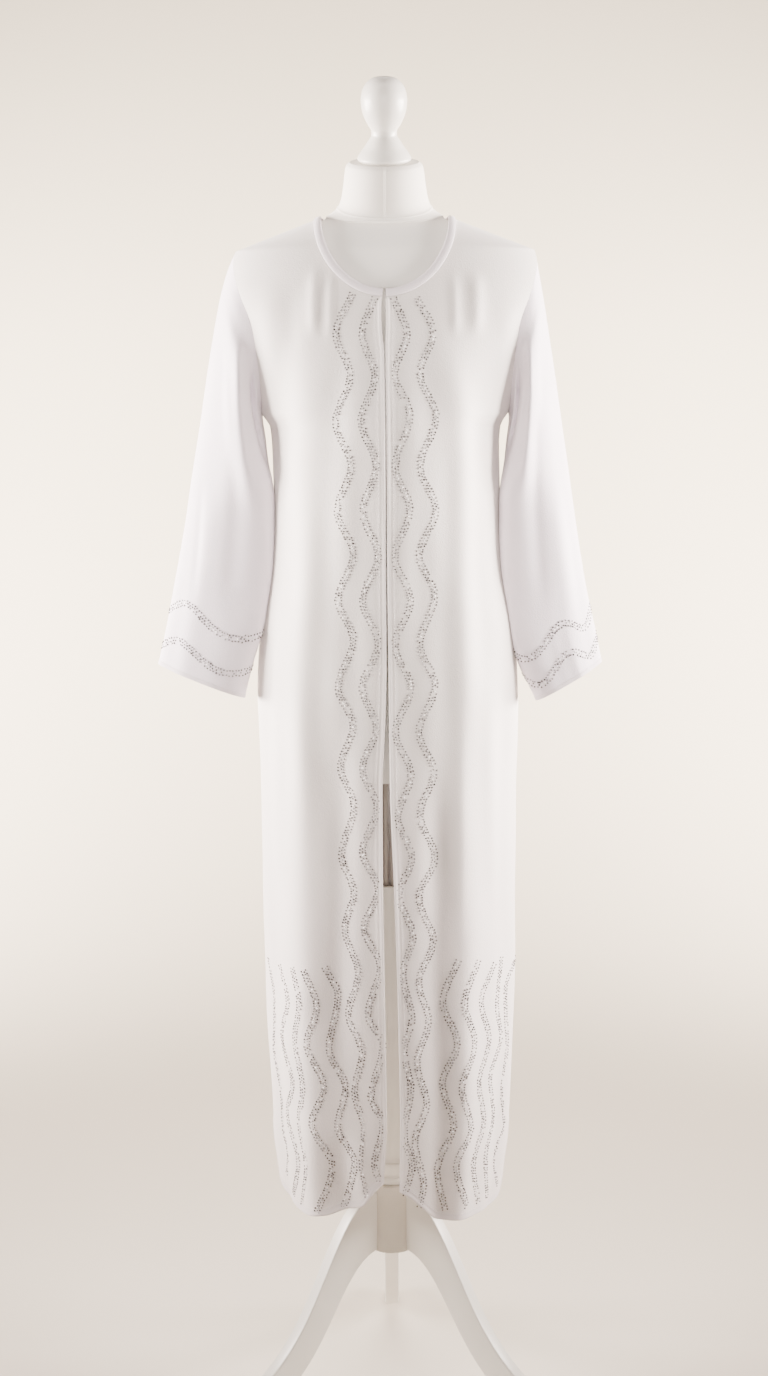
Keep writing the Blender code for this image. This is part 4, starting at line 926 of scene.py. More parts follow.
# Sleeves
# Two straight set-in sleeves of the same crepe, each cut in one piece, closed along its under seam and
# sewn into the armhole. The slanted cuffs are turned in once and stitched.
# share of the length, outer edge (x, z), inner edge (x, z), half depth and y of the middle
SLEEVE_LEFT = (
    (0.00, 0.1980, 1.604, 0.1650, 1.3900, 0.0500, 0.000),
    (0.08, 0.2095, 1.580, 0.1652, 1.3860, 0.0505, 0.000),
    (0.16, 0.2195, 1.548, 0.1650, 1.3800, 0.0505, -0.001),
    (0.25, 0.2300, 1.505, 0.1640, 1.3680, 0.0500, -0.002),
    (0.35, 0.2405, 1.450, 0.1620, 1.3450, 0.0485, -0.004),
    (0.46, 0.2515, 1.384, 0.1585, 1.3080, 0.0460, -0.007),
    (0.58, 0.2640, 1.313, 0.1570, 1.2550, 0.0425, -0.010),
    (0.70, 0.2765, 1.238, 0.1600, 1.1980, 0.0385, -0.014),
    (0.82, 0.2920, 1.160, 0.1720, 1.1350, 0.0345, -0.018),
    (0.92, 0.3045, 1.100, 0.1840, 1.0700, 0.0310, -0.020),
    (1.00, 0.3153, 1.055, 0.1976, 1.0110, 0.0285, -0.022),
)
SLEEVE_RIGHT = (
    (0.00, 0.1980, 1.604, 0.1650, 1.3900, 0.0500, 0.000),
    (0.08, 0.2040, 1.578, 0.1652, 1.3860, 0.0520, 0.000),
    (0.16, 0.2105, 1.545, 0.1650, 1.3800, 0.0540, -0.001),
    (0.25, 0.2190, 1.500, 0.1640, 1.3680, 0.0550, -0.002),
    (0.35, 0.2280, 1.446, 0.1615, 1.3450, 0.0540, -0.004),
    (0.46, 0.2375, 1.382, 0.1585, 1.3080, 0.0510, -0.007),
    (0.58, 0.2480, 1.312, 0.1575, 1.2550, 0.0460, -0.010),
    (0.70, 0.2590, 1.236, 0.1610, 1.1980, 0.0405, -0.014),
    (0.82, 0.2730, 1.152, 0.1700, 1.1250, 0.0345, -0.018),
    (0.92, 0.2855, 1.096, 0.1810, 1.0580, 0.0310, -0.020),
    (1.00, 0.2939, 1.054, 0.2036, 1.0050, 0.0285, -0.022),
)
# turn at the upper and lower end of a fold, width in degrees, depth, shares where it begins and ends
SLEEVE_FOLDS = (
    (72.0, 118.0, 20.0, 0.0050, 0.10, 0.62),
    (112.0, 168.0, 18.0, -0.0060, 0.08, 0.46),
    (150.0, 128.0, 20.0, -0.0045, 0.45, 0.92),
    (60.0, 66.0, 22.0, 0.0040, 0.55, 1.20),
    (285.0, 250.0, 20.0, 0.0055, 0.12, 0.70),
    (235.0, 215.0, 18.0, -0.0055, 0.10, 0.55),
    (300.0, 310.0, 22.0, -0.0040, 0.50, 1.10),
)
LEFT_CREASES = (
    (112.0, 161.0, 8.0, -0.0140, 0.04, 0.45),
    (83.0, 116.0, 11.0, 0.0045, 0.06, 0.62),
    (150.0, 148.0, 24.0, 0.0130, 0.38, 0.98),
    (142.0, 140.0, 40.0, 0.0080, 0.14, 1.30),
    (50.0, 44.0, 44.0, -0.0070, 0.14, 1.30),
    (100.0, 110.0, 13.0, -0.0030, 0.40, 0.88),
    (37.0, 64.0, 8.0, -0.0018, 0.55, 0.88),
    (62.0, 96.0, 9.0, 0.0016, 0.20, 0.52),
    (262.0, 240.0, 10.0, -0.0020, 0.30, 0.75),
    (325.0, 300.0, 10.0, 0.0018, 0.25, 0.70),
)
RIGHT_CREASES = (
    (112.0, 161.0, 8.0, -0.0140, 0.04, 0.43),
    (83.0, 112.0, 11.0, 0.0045, 0.06, 0.58),
    (150.0, 148.0, 24.0, 0.0130, 0.38, 0.98),
    (142.0, 140.0, 40.0, 0.0080, 0.14, 1.30),
    (50.0, 44.0, 44.0, -0.0070, 0.14, 1.30),
    (88.0, 109.0, 12.0, -0.0030, 0.30, 0.88),
    (60.0, 60.0, 20.0, 0.0020, 0.30, 0.90),
    (66.0, 92.0, 9.0, 0.0016, 0.16, 0.46),
    (76.0, 76.0, 9.0, 0.0014, 0.82, 1.10),
    (106.0, 106.0, 9.0, -0.0014, 0.82, 1.10),
    (258.0, 246.0, 10.0, -0.0020, 0.28, 0.72),
    (320.0, 305.0, 10.0, 0.0018, 0.20, 0.66),
)
SLEEVE_FADE, SLEEVE_BLEND, UNDERARM_TURN = 0.15, 0.30, 60.0
SLEEVE_TWIST = 0.007    # how far the outer edge hangs back and the inner edge forward
CUFF_LINES = np.array([0, 0.8, 1.6, 3.0, 4.6, 5.4, 6.2, 8.0]) / 1000
CUFF_TURNING = 0.0054    # width of the turned cuff
SLEEVE_SHARES = np.concatenate([np.linspace(0, 0.975, 132), 1 - CUFF_LINES[::-1] / 0.60])
CLEARANCE, CLEARANCE_SOFT = 0.0008, 0.0015    # least gap from the fronts and back, and how softly it is met
CLEAR_BELOW, CLEAR_REACH = 1.37, 0.06


def clear_of_body(points):
    """Points moved out from the pole until they clear the hanging cloth, easing in below the underarm.

    What falls short by s moves out by (s + sqrt(s^2 + softness^2)) / 2.
    """
    x, y, z = np.moveaxis(points, -1, 0)
    body = cloth(np.degrees(np.arctan2(x, -y)), z)
    reach = np.hypot(x, y)
    short = np.hypot(body[..., 0], body[..., 1]) + CLEARANCE - reach
    push = (short + np.hypot(short, CLEARANCE_SOFT)) / 2 * ease((CLEAR_BELOW - z) / CLEAR_REACH)
    return points + np.stack([x, y, 0 * z], -1) * (push / reach)[..., None]


def sleeve_surface(table, creases, hand, share, turn):
    """Sleeve tube: an oval between its outer and inner edge, moved by folds and kept clear of the body.

    The turn runs round the tube from the outer edge (0) by the front (90) to the inner edge (180).
    """
    outer_x, outer_z, inner_x, inner_z, half_depth, y = read(table, share)
    across, ahead = np.cos(np.radians(turn)), np.sin(np.radians(turn))
    middle = np.stack([hand * (outer_x + inner_x) / 2, y, (outer_z + inner_z) / 2], -1)
    outward = np.stack([hand * (outer_x - inner_x) / 2 * across, SLEEVE_TWIST * across - half_depth * ahead,
                        (outer_z - inner_z) / 2 * across], -1)
    height = 0 * share * turn
    for turn_from, turn_to, width, depth, share_from, share_to in SLEEVE_FOLDS + creases:
        along = np.clip((share - share_from) / (share_to - share_from), 0, 1)
        fade = ease((share - share_from) / SLEEVE_FADE) * ease((share_to - share) / SLEEVE_FADE)
        height = height + depth * fade * bump_across(turn, turn_from + (turn_to - turn_from) * along, width)
    return clear_of_body(middle + outward * (1 + height / np.linalg.norm(outward, axis=-1))[..., None])


def sleeve_normals(table, creases, hand, share, turn):
    """Outward unit normals of the sleeve tube, from small steps either way."""
    def surface(share, turn):
        return sleeve_surface(table, creases, hand, share, turn)

    round_it = surface(share, turn + TURN_STEP) - surface(share, turn - TURN_STEP)
    above, below = np.clip(share - RISE_STEP, 0, 1), np.clip(share + RISE_STEP, 0, 1)
    down_it = surface(below, turn) - surface(above, turn)
    facing = np.cross(round_it, down_it) * hand
    return facing / np.linalg.norm(facing, axis=-1, keepdims=True)


def armhole_loop(hand):
    """Armhole seam as a closed loop of points and normals, from the shoulder tip round the front."""
    front, back = (side_edge(BACK_HEM[0][1], behind)[len(CLIMB) - 1:] for behind in (False, True))
    path = np.concatenate([front[::-1], back[1:-1]])
    angle, z = hand * path[:, 0], path[:, 1]
    points = cloth(angle, z)
    points[1:ARMHOLE_STEPS, 1] -= SEAM / 2
    points[ARMHOLE_STEPS + 1:, 1] += SEAM / 2
    return points, normals(cloth, angle, z)


def sleeve(name, table, creases, hand, node):
    """Open tube that leaves the armhole in its own shape and turns back under the arm to hang down."""
    loop, facing = armhole_loop(hand)
    away = np.cross(np.roll(loop, -1, axis=0) - np.roll(loop, 1, axis=0), facing) * -hand
    away /= np.linalg.norm(away, axis=-1, keepdims=True)
    turn = np.linspace(0, 360, len(loop), endpoint=False)[None, :]
    fold_back = math.pi * ease(1 - np.abs(turn[0] - 180) / UNDERARM_TURN)[:, None]
    start = loop + (away * np.cos(fold_back / 2) + facing * np.sin(fold_back / 2)) * SEAM
    facing = facing * np.cos(fold_back) - away * np.sin(fold_back)
    share, turn = np.broadcast_arrays(SLEEVE_SHARES[:, None], turn)
    points = sleeve_surface(table, creases, hand, share, turn)
    points = points + (1 - np.clip(share / SLEEVE_BLEND, 0, 1))[..., None] ** 2 * (start - points[0])[None]
    hold = (1 - np.clip(share / (SLEEVE_BLEND / 2), 0, 1))[..., None]
    facings = hold * facing[None] + (1 - hold) * sleeve_normals(table, creases, hand, share, turn)
    facings /= np.linalg.norm(facings, axis=-1, keepdims=True)
    to_edge = distance_from(points, points[-1:]) + TURNING - CUFF_TURNING
    rise = TURNED_RISE * ease((TURNING + 0.0004 - to_edge) / 0.0008)
    outer = AXIS + points + facings * rise[..., None]
    inner = AXIS + points - facings * (WALL + rise)[..., None]
    order = (slice(None, None, -1), slice(None, None, -1) if hand > 0 else slice(None))
    panels[name] = outer[order]
    return wall(name, outer[order], inner[order], True, {"to_edge": to_edge[order]}, sleeve_crepe_painted_lighter,
                "white_crepe", node)


# painted light: the sleeves' crepe is the body's cloth drawn lighter and more lilac, as the lights leave the
# sleeves too dark
sleeve_crepe_painted_lighter = crepe("washed_crepe_of_the_sleeves_painted_lighter", "#F1E9F1", "#E8DEE7", "#F0E8F0")
left_sleeve = sleeve("left_sleeve", SLEEVE_LEFT, LEFT_CREASES, -1, "sleeve_left")
right_sleeve = sleeve("right_sleeve", SLEEVE_RIGHT, RIGHT_CREASES, 1, "sleeve_right")

# Neck binding
# A bias strip of the same crepe, folded over the raw neck edge and stitched through along its outer side.
# It ends at both centre edges, and no hook or button shows there.
BINDING, BINDING_RISE = 0.0104, 0.0026


def neck_edge(inset):
    """Neckline all round, set in by a distance, as (angle, height) from one centre edge to the other."""
    rise = inset * SHOULDER_SLOPE
    x, z = front_neckline(NECK_X - inset, NECK_DROP - inset + rise, NECK_Z + rise)
    left_edge, right_edge = read(OPENING, z)
    halves = []
    for at in (np.maximum(x, -left_edge), np.maximum(x, right_edge)):
        angle = angle_at(at, z)
        angle[-1] = 90
        halves.append(np.stack([angle, z], -1))
    left, right = halves
    behind = back_neckline(rise)
    half_left = np.concatenate([left, behind[1:-1]])[::-1] * (-1, 1) + (360, 0)
    return np.concatenate([right, behind[1:], half_left])


def binding_rings():
    """Sections across the strip: half an ellipse on its outer side over a flat inner side."""
    turn = np.linspace(0, math.pi, 17)
    across = np.concatenate([0.5 - 0.48 * np.cos(turn), [0.97, 0.5, 0.02]])
    height = np.concatenate([BINDING_RISE * np.sin(turn) ** 0.7, [-WALL, -WALL, -WALL]])
    columns = []
    for share, rise in zip(across, height):
        angle, z = neck_edge(share * BINDING + SEAM).T
        columns.append(smooth_cloth(angle, z) + normals(smooth_cloth, angle, z) * rise)
    return AXIS + np.stack(columns[::-1], 1)


binding_crepe = crepe("folded_crepe_binding", "#F2EAF0", "#E8E0E6", "#F2EAF0")
binding_points = binding_rings()
neck_strip = solid("neck_strip", binding_points, binding_crepe, "white_binding", "neck_binding")

# Stitching
# Lockstitch in white polyester thread, 2.4 mm to a stitch, along every turned edge and the binding.
STITCH, STITCH_GAP = 0.0024, 0.0010
THREAD_WIDTH, THREAD_RISE = 0.00055, 0.00028


def unit_stitch():
    """An ellipsoid 1 long, 1 wide and 1 high, as points and faces: three rings of six between two tips."""
    lengthwise, turn = np.array([-0.33, 0, 0.33]), np.arange(6) * math.pi / 3
    radius = np.sqrt(0.25 - lengthwise ** 2)[:, None]
    rings = np.stack([lengthwise[:, None] + 0 * turn, radius * np.cos(turn), radius * np.sin(turn)], -1)
    points = np.concatenate([rings.reshape(-1, 3), [(-0.5, 0, 0), (0.5, 0, 0)]])
    here = np.arange(18).reshape(3, 6)
    ahead = np.roll(here, -1, 1)
    quads = np.stack([here[:-1], ahead[:-1], ahead[1:], here[1:]], -1).reshape(-1, 4)
    ends = [(18, b, a) for a, b in zip(here[0], ahead[0])] + [(19, a, b) for a, b in zip(here[2], ahead[2])]
    return points, [tuple(map(int, face)) for face in (*quads, *ends)]


def scatter(name, unit, places, along, facing, sizes, material, slot, tone=None, sharp=60):
    """One mesh of copies of a unit shape: each turned to its own along, side and facing and sized."""
    points, faces = unit
    side = np.cross(facing, along)
    axes = np.stack([along, side, facing], 1) * sizes[..., None]
    copies = places[:, None] + np.einsum("pk,nkx->npx", points, axes)
    count = len(points)
    first = count * np.arange(len(places))[:, None, None]
    copied = []
    for corners in sorted({len(face) for face in faces}):
        alike = np.array([face for face in faces if len(face) == corners])
        copied += (alike + first).reshape(-1, corners).tolist()
    mesh = bpy.data.meshes.new(name)
    mesh.from_pydata(copies.reshape(-1, 3).tolist(), [], copied)
    if tone is not None:
        layer = mesh.attributes.new("tone", "FLOAT", "POINT")
        layer.data.foreach_set("value", np.repeat(tone, count).astype(np.float32))
    return settle(name, mesh, material, slot, sharp=sharp)


def unit_vectors(vectors):
    """Vectors brought to length 1."""
    return vectors / np.linalg.norm(vectors, axis=-1, keepdims=True)


def spaced(line, pitch, *others):
    """A line resampled at even lengths along it, with whatever else is given at its points."""
    length = np.concatenate([[0], np.cumsum(np.linalg.norm(np.diff(line, axis=0), axis=1))])
    at = np.arange(pitch / 2, length[-1], pitch)
    rows = (line, *others)
    return [np.stack([np.interp(at, length, column) for column in row.T], -1) for row in rows]


def inside_edge(grid, inset):
    """Line at a distance inside a grid's first row, carried along the cloth square to the row."""
    along = unit_vectors(np.gradient(grid[0], axis=0))
    facing = unit_vectors(np.cross(along, grid[3] - grid[0]))
    return grid[0] + np.cross(facing, along) * inset, facing


def white_thread():
    """Trilobal polyester thread: white with a slight silky gloss."""
    material, tree, shader = new_material("polyester_thread", {"Roughness": 0.5, "IOR": 1.55})
    place = add(tree, "ShaderNodeTexCoord").outputs["Object"]
    ply = add(tree, "ShaderNodeTexNoise", {"Scale": 1 / 0.0008, "Detail": 1.0}, {"Vector": place})
    colour = add(tree, "ShaderNodeMix", {6: linear("#D9D3D2"), 7: linear("#EDE9E8")},
                 {0: ply.outputs["Fac"]}, data_type="RGBA")
    tree.links.new(colour.outputs[2], shader.inputs["Base Color"])
    return material


def stitch_line(name, line, facing):
    """Stitches end to end along a line, half sunk in the cloth."""
    places, facing = spaced(line, STITCH + STITCH_GAP, facing)
    along = unit_vectors(np.gradient(places, axis=0))
    facing = unit_vectors(facing - along * np.sum(facing * along, -1, keepdims=True))
    sizes = np.array([STITCH, THREAD_WIDTH, 2 * THREAD_RISE]) + 0 * places
    return scatter(name, unit_stitch(), places, along, facing, sizes, thread, "white_binding")


def looped(grid):
    """A closed grid with its first column repeated at its end."""
    return np.concatenate([grid, grid[:, :1]], 1)


thread = white_thread()
ROWS_BELOW_NECK = len(CLIMB) + LOWER_ARMHOLE - 1
centre_edges = {
    "right_front": panels["right_front"][:ROWS_BELOW_NECK].transpose(1, 0, 2)[:, ::-1],
    "left_front": panels["left_front"][:ROWS_BELOW_NECK, ::-1].transpose(1, 0, 2),
}
stitching = {name: [] for name in panels}
for name, grid in panels.items():
    tube = "sleeve" in name
    hem = inside_edge(looped(grid) if tube else grid, (CUFF_TURNING if tube else TURNING) - 0.0011)
    stitching[name].append(stitch_line(name + "_hem_stitches", *hem))
for name, grid in centre_edges.items():
    stitching[name].append(stitch_line(name + "_centre_stitches", *inside_edge(grid, TURNING - 0.0014)))
angle, z = neck_edge(0.12 * BINDING + SEAM).T
neck_line = AXIS + smooth_cloth(angle, z) + normals(smooth_cloth, angle, z) * BINDING_RISE * 0.72
neck_stitches = stitch_line("neck_stitches", neck_line, normals(smooth_cloth, angle, z))

# Rhinestones
# Flat-backed glass stones about 2.5 mm across, cut with eight facets, foiled behind and glued on hot.
# Smoky ones edge each wavy band and clear and smoky ones fill it. The bands run down both fronts, up from
# the hem and round the cuffs.
STONE_SIZE, STONE_HEIGHT = 0.0026, 0.0011
ROW_PITCH, BETWEEN = 0.00215, 0.0036
SMOKY_TONE, CLEAR_SHARE, LEFT_OUT, SIDE_LEFT_OUT = 0.10, 0.45, 0.12, 0.04
TONE_SWING, LONG_WAVE, SHORT_WAVE = 0.9, 0.19, 0.053    # how the smoky tone swings along a band
JITTER, TILT = 0.00040, 0.10
# heights of the bends of a band and its distance from the middle there
OUTER_LEFT = (
    (1.544, -0.0417), (1.491, -0.0640), (1.439, -0.0462), (1.379, -0.0660), (1.324, -0.0458), (1.265, -0.0646),
    (1.211, -0.0444), (1.149, -0.0645), (1.099, -0.0454), (1.035, -0.0657), (0.985, -0.0465), (0.930, -0.0642),
    (0.878, -0.0469), (0.809, -0.0642), (0.760, -0.0480), (0.709, -0.0612), (0.649, -0.0431), (0.590, -0.0571),
    (0.539, -0.0387), (0.482, -0.0500), (0.430, -0.0370), (0.385, -0.0401), (0.334, -0.0324),
)
INNER_LEFT = (
    (1.538, -0.0134), (1.490, -0.0304), (1.438, -0.0141), (1.381, -0.0324), (1.324, -0.0137), (1.265, -0.0315),
    (1.207, -0.0120), (1.150, -0.0326), (1.093, -0.0129), (1.036, -0.0342), (0.983, -0.0164), (0.928, -0.0345),
    (0.876, -0.0159), (0.816, -0.0355), (0.765, -0.0154), (0.712, -0.0345), (0.659, -0.0136), (0.591, -0.0302),
    (0.551, -0.0104), (0.475, -0.0271), (0.439, -0.0112), (0.380, -0.0232), (0.354, -0.0151),
)
INNER_RIGHT = (
    (1.538, 0.0098), (1.491, 0.0274), (1.441, 0.0116), (1.387, 0.0303), (1.323, 0.0113), (1.267, 0.0297),
    (1.207, 0.0100), (1.149, 0.0304), (1.092, 0.0092), (1.035, 0.0298), (0.976, 0.0091), (0.921, 0.0292),
    (0.862, 0.0117), (0.808, 0.0299), (0.756, 0.0124), (0.702, 0.0307), (0.648, 0.0171), (0.587, 0.0288),
    (0.542, 0.0178), (0.488, 0.0270), (0.424, 0.0172), (0.376, 0.0278), (0.335, 0.0167),
)
OUTER_RIGHT = (
    (1.538, 0.0407), (1.491, 0.0609), (1.441, 0.0437), (1.385, 0.0638), (1.322, 0.0435), (1.267, 0.0634),
    (1.207, 0.0418), (1.156, 0.0617), (1.091, 0.0418), (1.038, 0.0612), (0.975, 0.0400), (0.923, 0.0595),
    (0.866, 0.0414), (0.804, 0.0618), (0.754, 0.0389), (0.692, 0.0587), (0.636, 0.0384), (0.581, 0.0516),
    (0.524, 0.0352), (0.465, 0.0485), (0.412, 0.0320), (0.346, 0.0440), (0.316, 0.0371),
)
LEFT_HEM_BANDS = (
    ((0.647, -0.1701), (0.588, -0.1631), (0.522, -0.1646), (0.458, -0.1567), (0.404, -0.1548),
     (0.371, -0.1464), (0.332, -0.1507)),
    ((0.646, -0.1530), (0.598, -0.1379), (0.548, -0.1503), (0.483, -0.1327), (0.433, -0.1452),
     (0.371, -0.1275), (0.310, -0.1390)),
    ((0.651, -0.1294), (0.602, -0.1196), (0.550, -0.1274), (0.482, -0.1172), (0.432, -0.1236),
     (0.369, -0.1133), (0.306, -0.1222)),
    ((0.650, -0.1134), (0.600, -0.0976), (0.547, -0.1107), (0.487, -0.0902), (0.434, -0.1054),
     (0.373, -0.0813), (0.304, -0.1003)),
    ((0.656, -0.0881), (0.617, -0.0716), (0.539, -0.0834), (0.487, -0.0622), (0.430, -0.0737),
     (0.381, -0.0510), (0.314, -0.0668)),
)
RIGHT_HEM_BANDS = (
    ((0.665, 0.0911), (0.607, 0.0713), (0.549, 0.0882), (0.491, 0.0704), (0.433, 0.0840),
     (0.368, 0.0633), (0.308, 0.0735)),
    ((0.660, 0.1186), (0.604, 0.0979), (0.546, 0.1117), (0.485, 0.0937), (0.426, 0.1062),
     (0.373, 0.0867), (0.310, 0.1008)),
    ((0.649, 0.1441), (0.600, 0.1228), (0.543, 0.1357), (0.485, 0.1187), (0.429, 0.1274),
     (0.371, 0.1105), (0.308, 0.1193)),
    ((0.653, 0.1559), (0.587, 0.1486), (0.537, 0.1563), (0.486, 0.1373), (0.428, 0.1456),
     (0.371, 0.1305), (0.306, 0.1355)),
    ((0.640, 0.1733), (0.602, 0.1622), (0.525, 0.1643), (0.457, 0.1585), (0.405, 0.1607),
     (0.358, 0.1485), (0.314, 0.1511)),
)
# height above the cuff, swing, bends round the sleeve and turn of the first bend
LEFT_CUFF_BANDS = ((0.084, 0.011, 3, 51), (0.034, 0.009, 3, 51))
RIGHT_CUFF_BANDS = ((0.068, 0.011, 4, 84), (0.028, 0.010, 4, 84))


def unit_stone():
    """Flat-backed stone 1 across and 1 high: an octagonal girdle, crown facets and a smaller table."""
    turn = np.arange(8) * math.pi / 4
    ring = np.stack([np.cos(turn), np.sin(turn)], -1)
    levels = ((0.47, 0.0), (0.50, 0.22), (0.29, 1.0))
    rings = [np.column_stack([ring * radius, np.full(8, height)]) for radius, height in levels]
    points = np.concatenate(rings)
    here = np.arange(24).reshape(3, 8)
    ahead = np.roll(here, -1, 1)
    quads = np.stack([here[:-1], ahead[:-1], ahead[1:], here[1:]], -1).reshape(-1, 4)
    return points, [*map(tuple, quads.tolist()), tuple(range(7, -1, -1)), tuple(range(16, 24))]


def foiled_glass():
    """Cut glass over a silver foil, its reflection painted into the colour: smoky stones grey, clear ones
    milky white, a painted reflection of the white cloth round them.

    It is shaded as a plain grey under a clear coat, since a true mirror this small renders as a smear.
    """
    material, tree, shader = new_material(
        "foil_backed_glass", {"Coat Weight": 0.3, "Coat Roughness": 0.1, "Roughness": 0.3})
    tone = add(tree, "ShaderNodeAttribute", attribute_name="tone").outputs["Fac"]
    colour = add(tree, "ShaderNodeMix", {6: linear("#2A2224"), 7: linear("#FAF8F8")}, {0: tone},
                 data_type="RGBA")
    tree.links.new(colour.outputs[2], shader.inputs["Base Color"])
    return material


def beside(surface, u, v, offset, facing_sign):
    """The line (u, v) on a surface moved sideways by a distance, square to itself and on the surface."""
    step = 1e-3
    by_u = (surface(u + step, v) - surface(u - step, v)) / (2 * step)
    by_v = (surface(u, v + step) - surface(u, v - step)) / (2 * step)
    along = unit_vectors(np.gradient(surface(u, v), axis=0))
    facing = facing_sign * unit_vectors(np.cross(by_u, by_v))
    side = np.cross(facing, along) * offset[:, None]
    gram = np.stack([np.stack([np.sum(a * b, -1) for b in (by_u, by_v)], -1) for a in (by_u, by_v)], -2)
    wanted = np.stack([np.sum(side * by_u, -1), np.sum(side * by_v, -1)], -1)
    shift = np.linalg.solve(gram, wanted[..., None])[..., 0]
    return u + shift[:, 0], v + shift[:, 1]


def band_places(surface, u, v, facing_sign, chance, thin_below=-1.0):
    """Places and tones of a band's stones: rows of two and of one in turn across an even line.

    Nearly half of the single ones are clear and a few left out. The rest are smoky, darker and lighter
    by turns as the product of two sines along the band. One outer file is left out below a height.
    """
    u, v = spaced(surface(u, v), ROW_PITCH, np.stack([u, v], -1))[1].T
    run = np.arange(len(u)) * ROW_PITCH * 2 * math.pi
    start_long, start_short = chance.uniform(0, 2 * math.pi, 2)
    waves = np.sin(run / LONG_WAVE + start_long) * np.sin(run / SHORT_WAVE + start_short)
    smoky = SMOKY_TONE * (1 + TONE_SWING * waves)
    places = []
    for across, start in ((-1, 0), (1, 0), (0, 1)):
        offset = np.full(u.shape, across * BETWEEN)
        side_u, side_v = beside(surface, u, v, offset, facing_sign)
        tone = smoky if across else np.where(chance.random(len(u)) < CLEAR_SHARE, 1, smoky)
        left_out = SIDE_LEFT_OUT if across else LEFT_OUT
        kept = ((v > thin_below) | (across != 1)) & (chance.random(len(u)) > left_out)
        places.append(np.stack([side_u, side_v, tone], -1)[start::2][kept[start::2]])
    return np.concatenate(places)


def set_stones(name, surface, places, facing_sign, chance):
    """Stones on a surface at their places, each with its own jitter, turn, tilt, size and tone."""
    step = 1e-3
    u, v, tone = places.T
    by_u, by_v = surface(u + step, v) - surface(u - step, v), surface(u, v + step) - surface(u, v - step)
    facing = facing_sign * unit_vectors(np.cross(by_u, by_v))
    across, up = unit_vectors(by_u), np.cross(facing, unit_vectors(by_u))
    jitter = chance.normal(0, JITTER, (2, len(u), 1))
    points = AXIS + surface(u, v) + jitter[0] * across + jitter[1] * up
    tilt = chance.normal(0, TILT, (2, len(u), 1))
    facing = unit_vectors(facing + tilt[0] * across + tilt[1] * up)
    turn = chance.uniform(0, 2 * math.pi, (len(u), 1))
    along = np.cos(turn) * across + np.sin(turn) * up
    along = unit_vectors(along - facing * np.sum(along * facing, -1, keepdims=True))
    size = STONE_SIZE * chance.uniform(0.8, 1.1, (len(u), 1))
    sizes = np.concatenate([size, size, size * STONE_HEIGHT / STONE_SIZE], 1)
    tone = np.clip(tone * chance.uniform(0.3, 1.7, len(u)), 0, 1)
    return scatter(name, unit_stone(), points, along, facing, sizes, glass, "rhinestone", tone, sharp=12)


def front_band(table):
    """A band down a front as a finely sampled line of (angle, height)."""
    z = np.linspace(table[0][0], table[-1][0], 1200)
    return angle_at(read(table[::-1], z)[0], z), z


def cuff_band(tube, height, swing, bends, first):
    """A band round a sleeve: its height above the cuff swings as the cosine of the turn."""
    turn = np.linspace(0, 360, 900)
    share = np.linspace(0.70, 1, 200)
    above = height + swing * np.cos(np.radians(bends * (turn - first)))
    length = np.linalg.norm(np.diff(tube(turn[None], share[:, None]), axis=0), axis=-1)
    from_cuff = np.concatenate([np.cumsum(length[::-1], axis=0)[::-1], 0 * length[:1]])
    shares = [np.interp(-wanted, -column, share) for wanted, column in zip(above, from_cuff.T)]
    return turn, np.array(shares)


glass = foiled_glass()
chance = np.random.default_rng(41)
# tables of each piece and the height below which each band loses one outer file
front_bands = {
    "left_front": ((OUTER_LEFT, 0.45), (INNER_LEFT, 0)),
    "left_hem": tuple(zip(LEFT_HEM_BANDS, (1, 0, 0.45, 0, 0))),
    "right_front": ((OUTER_RIGHT, 0), (INNER_RIGHT, 0)),
    "right_hem": tuple(zip(RIGHT_HEM_BANDS, (0, 0, 0, 0, 0.5))),
}
for name, tables in front_bands.items():
    bands = [band_places(cloth, *front_band(table), 1, chance, thin) for table, thin in tables]
    places = np.concatenate(bands)
    set_stones(name + "_stones", cloth, places, 1, chance)
sleeve_bands = {
    "left_sleeve": (SLEEVE_LEFT, LEFT_CREASES, -1, LEFT_CUFF_BANDS),
    "right_sleeve": (SLEEVE_RIGHT, RIGHT_CREASES, 1, RIGHT_CUFF_BANDS),
}
for name, (table, creases, hand, bands) in sleeve_bands.items():
    def tube(turn, share, table=table, creases=creases, hand=hand):
        return sleeve_surface(table, creases, hand, *np.broadcast_arrays(share, turn))

    places = np.concatenate([band_places(tube, *cuff_band(tube, *band), hand, chance) for band in bands])
    set_stones(name + "_stones", tube, places, hand, chance)

# Backdrop and floor
# A plain paper sweep behind and under the stand, cream, drawn a little lighter underfoot as painted light.
FLOOR_FRONT, FLOOR_BACK, SWEEP, WALL_TOP, HALF_ROOM = -4.0, 0.9, 1.6, 4.2, 5.0


def paper_sweep():
    """Floor line, quarter circle and wall line carried from side to side."""
    turn = np.linspace(0, math.pi / 2, 33)[:, None]
    curve = (FLOOR_BACK, 0) + SWEEP * np.concatenate([np.sin(turn), 1 - np.cos(turn)], 1)
    profile = np.concatenate([[(FLOOR_FRONT, 0)], curve, [(FLOOR_BACK + SWEEP, WALL_TOP)]])
    sides = np.array([-HALF_ROOM, HALF_ROOM])
    x = sides + 0 * profile[:, :1]
    y, z = (profile[:, k, None] + 0 * sides for k in (0, 1))
    points = np.stack([x, y, z], -1)
    here = np.arange(len(profile) * 2).reshape(-1, 2)
    quads = np.stack([here[:-1, 0], here[:-1, 1], here[1:, 1], here[1:, 0]], -1)
    mesh = bpy.data.meshes.new("paper_sweep")
    mesh.from_pydata(points.reshape(-1, 3).tolist(), [], quads.tolist())
    mesh.shade_smooth()
    return mesh


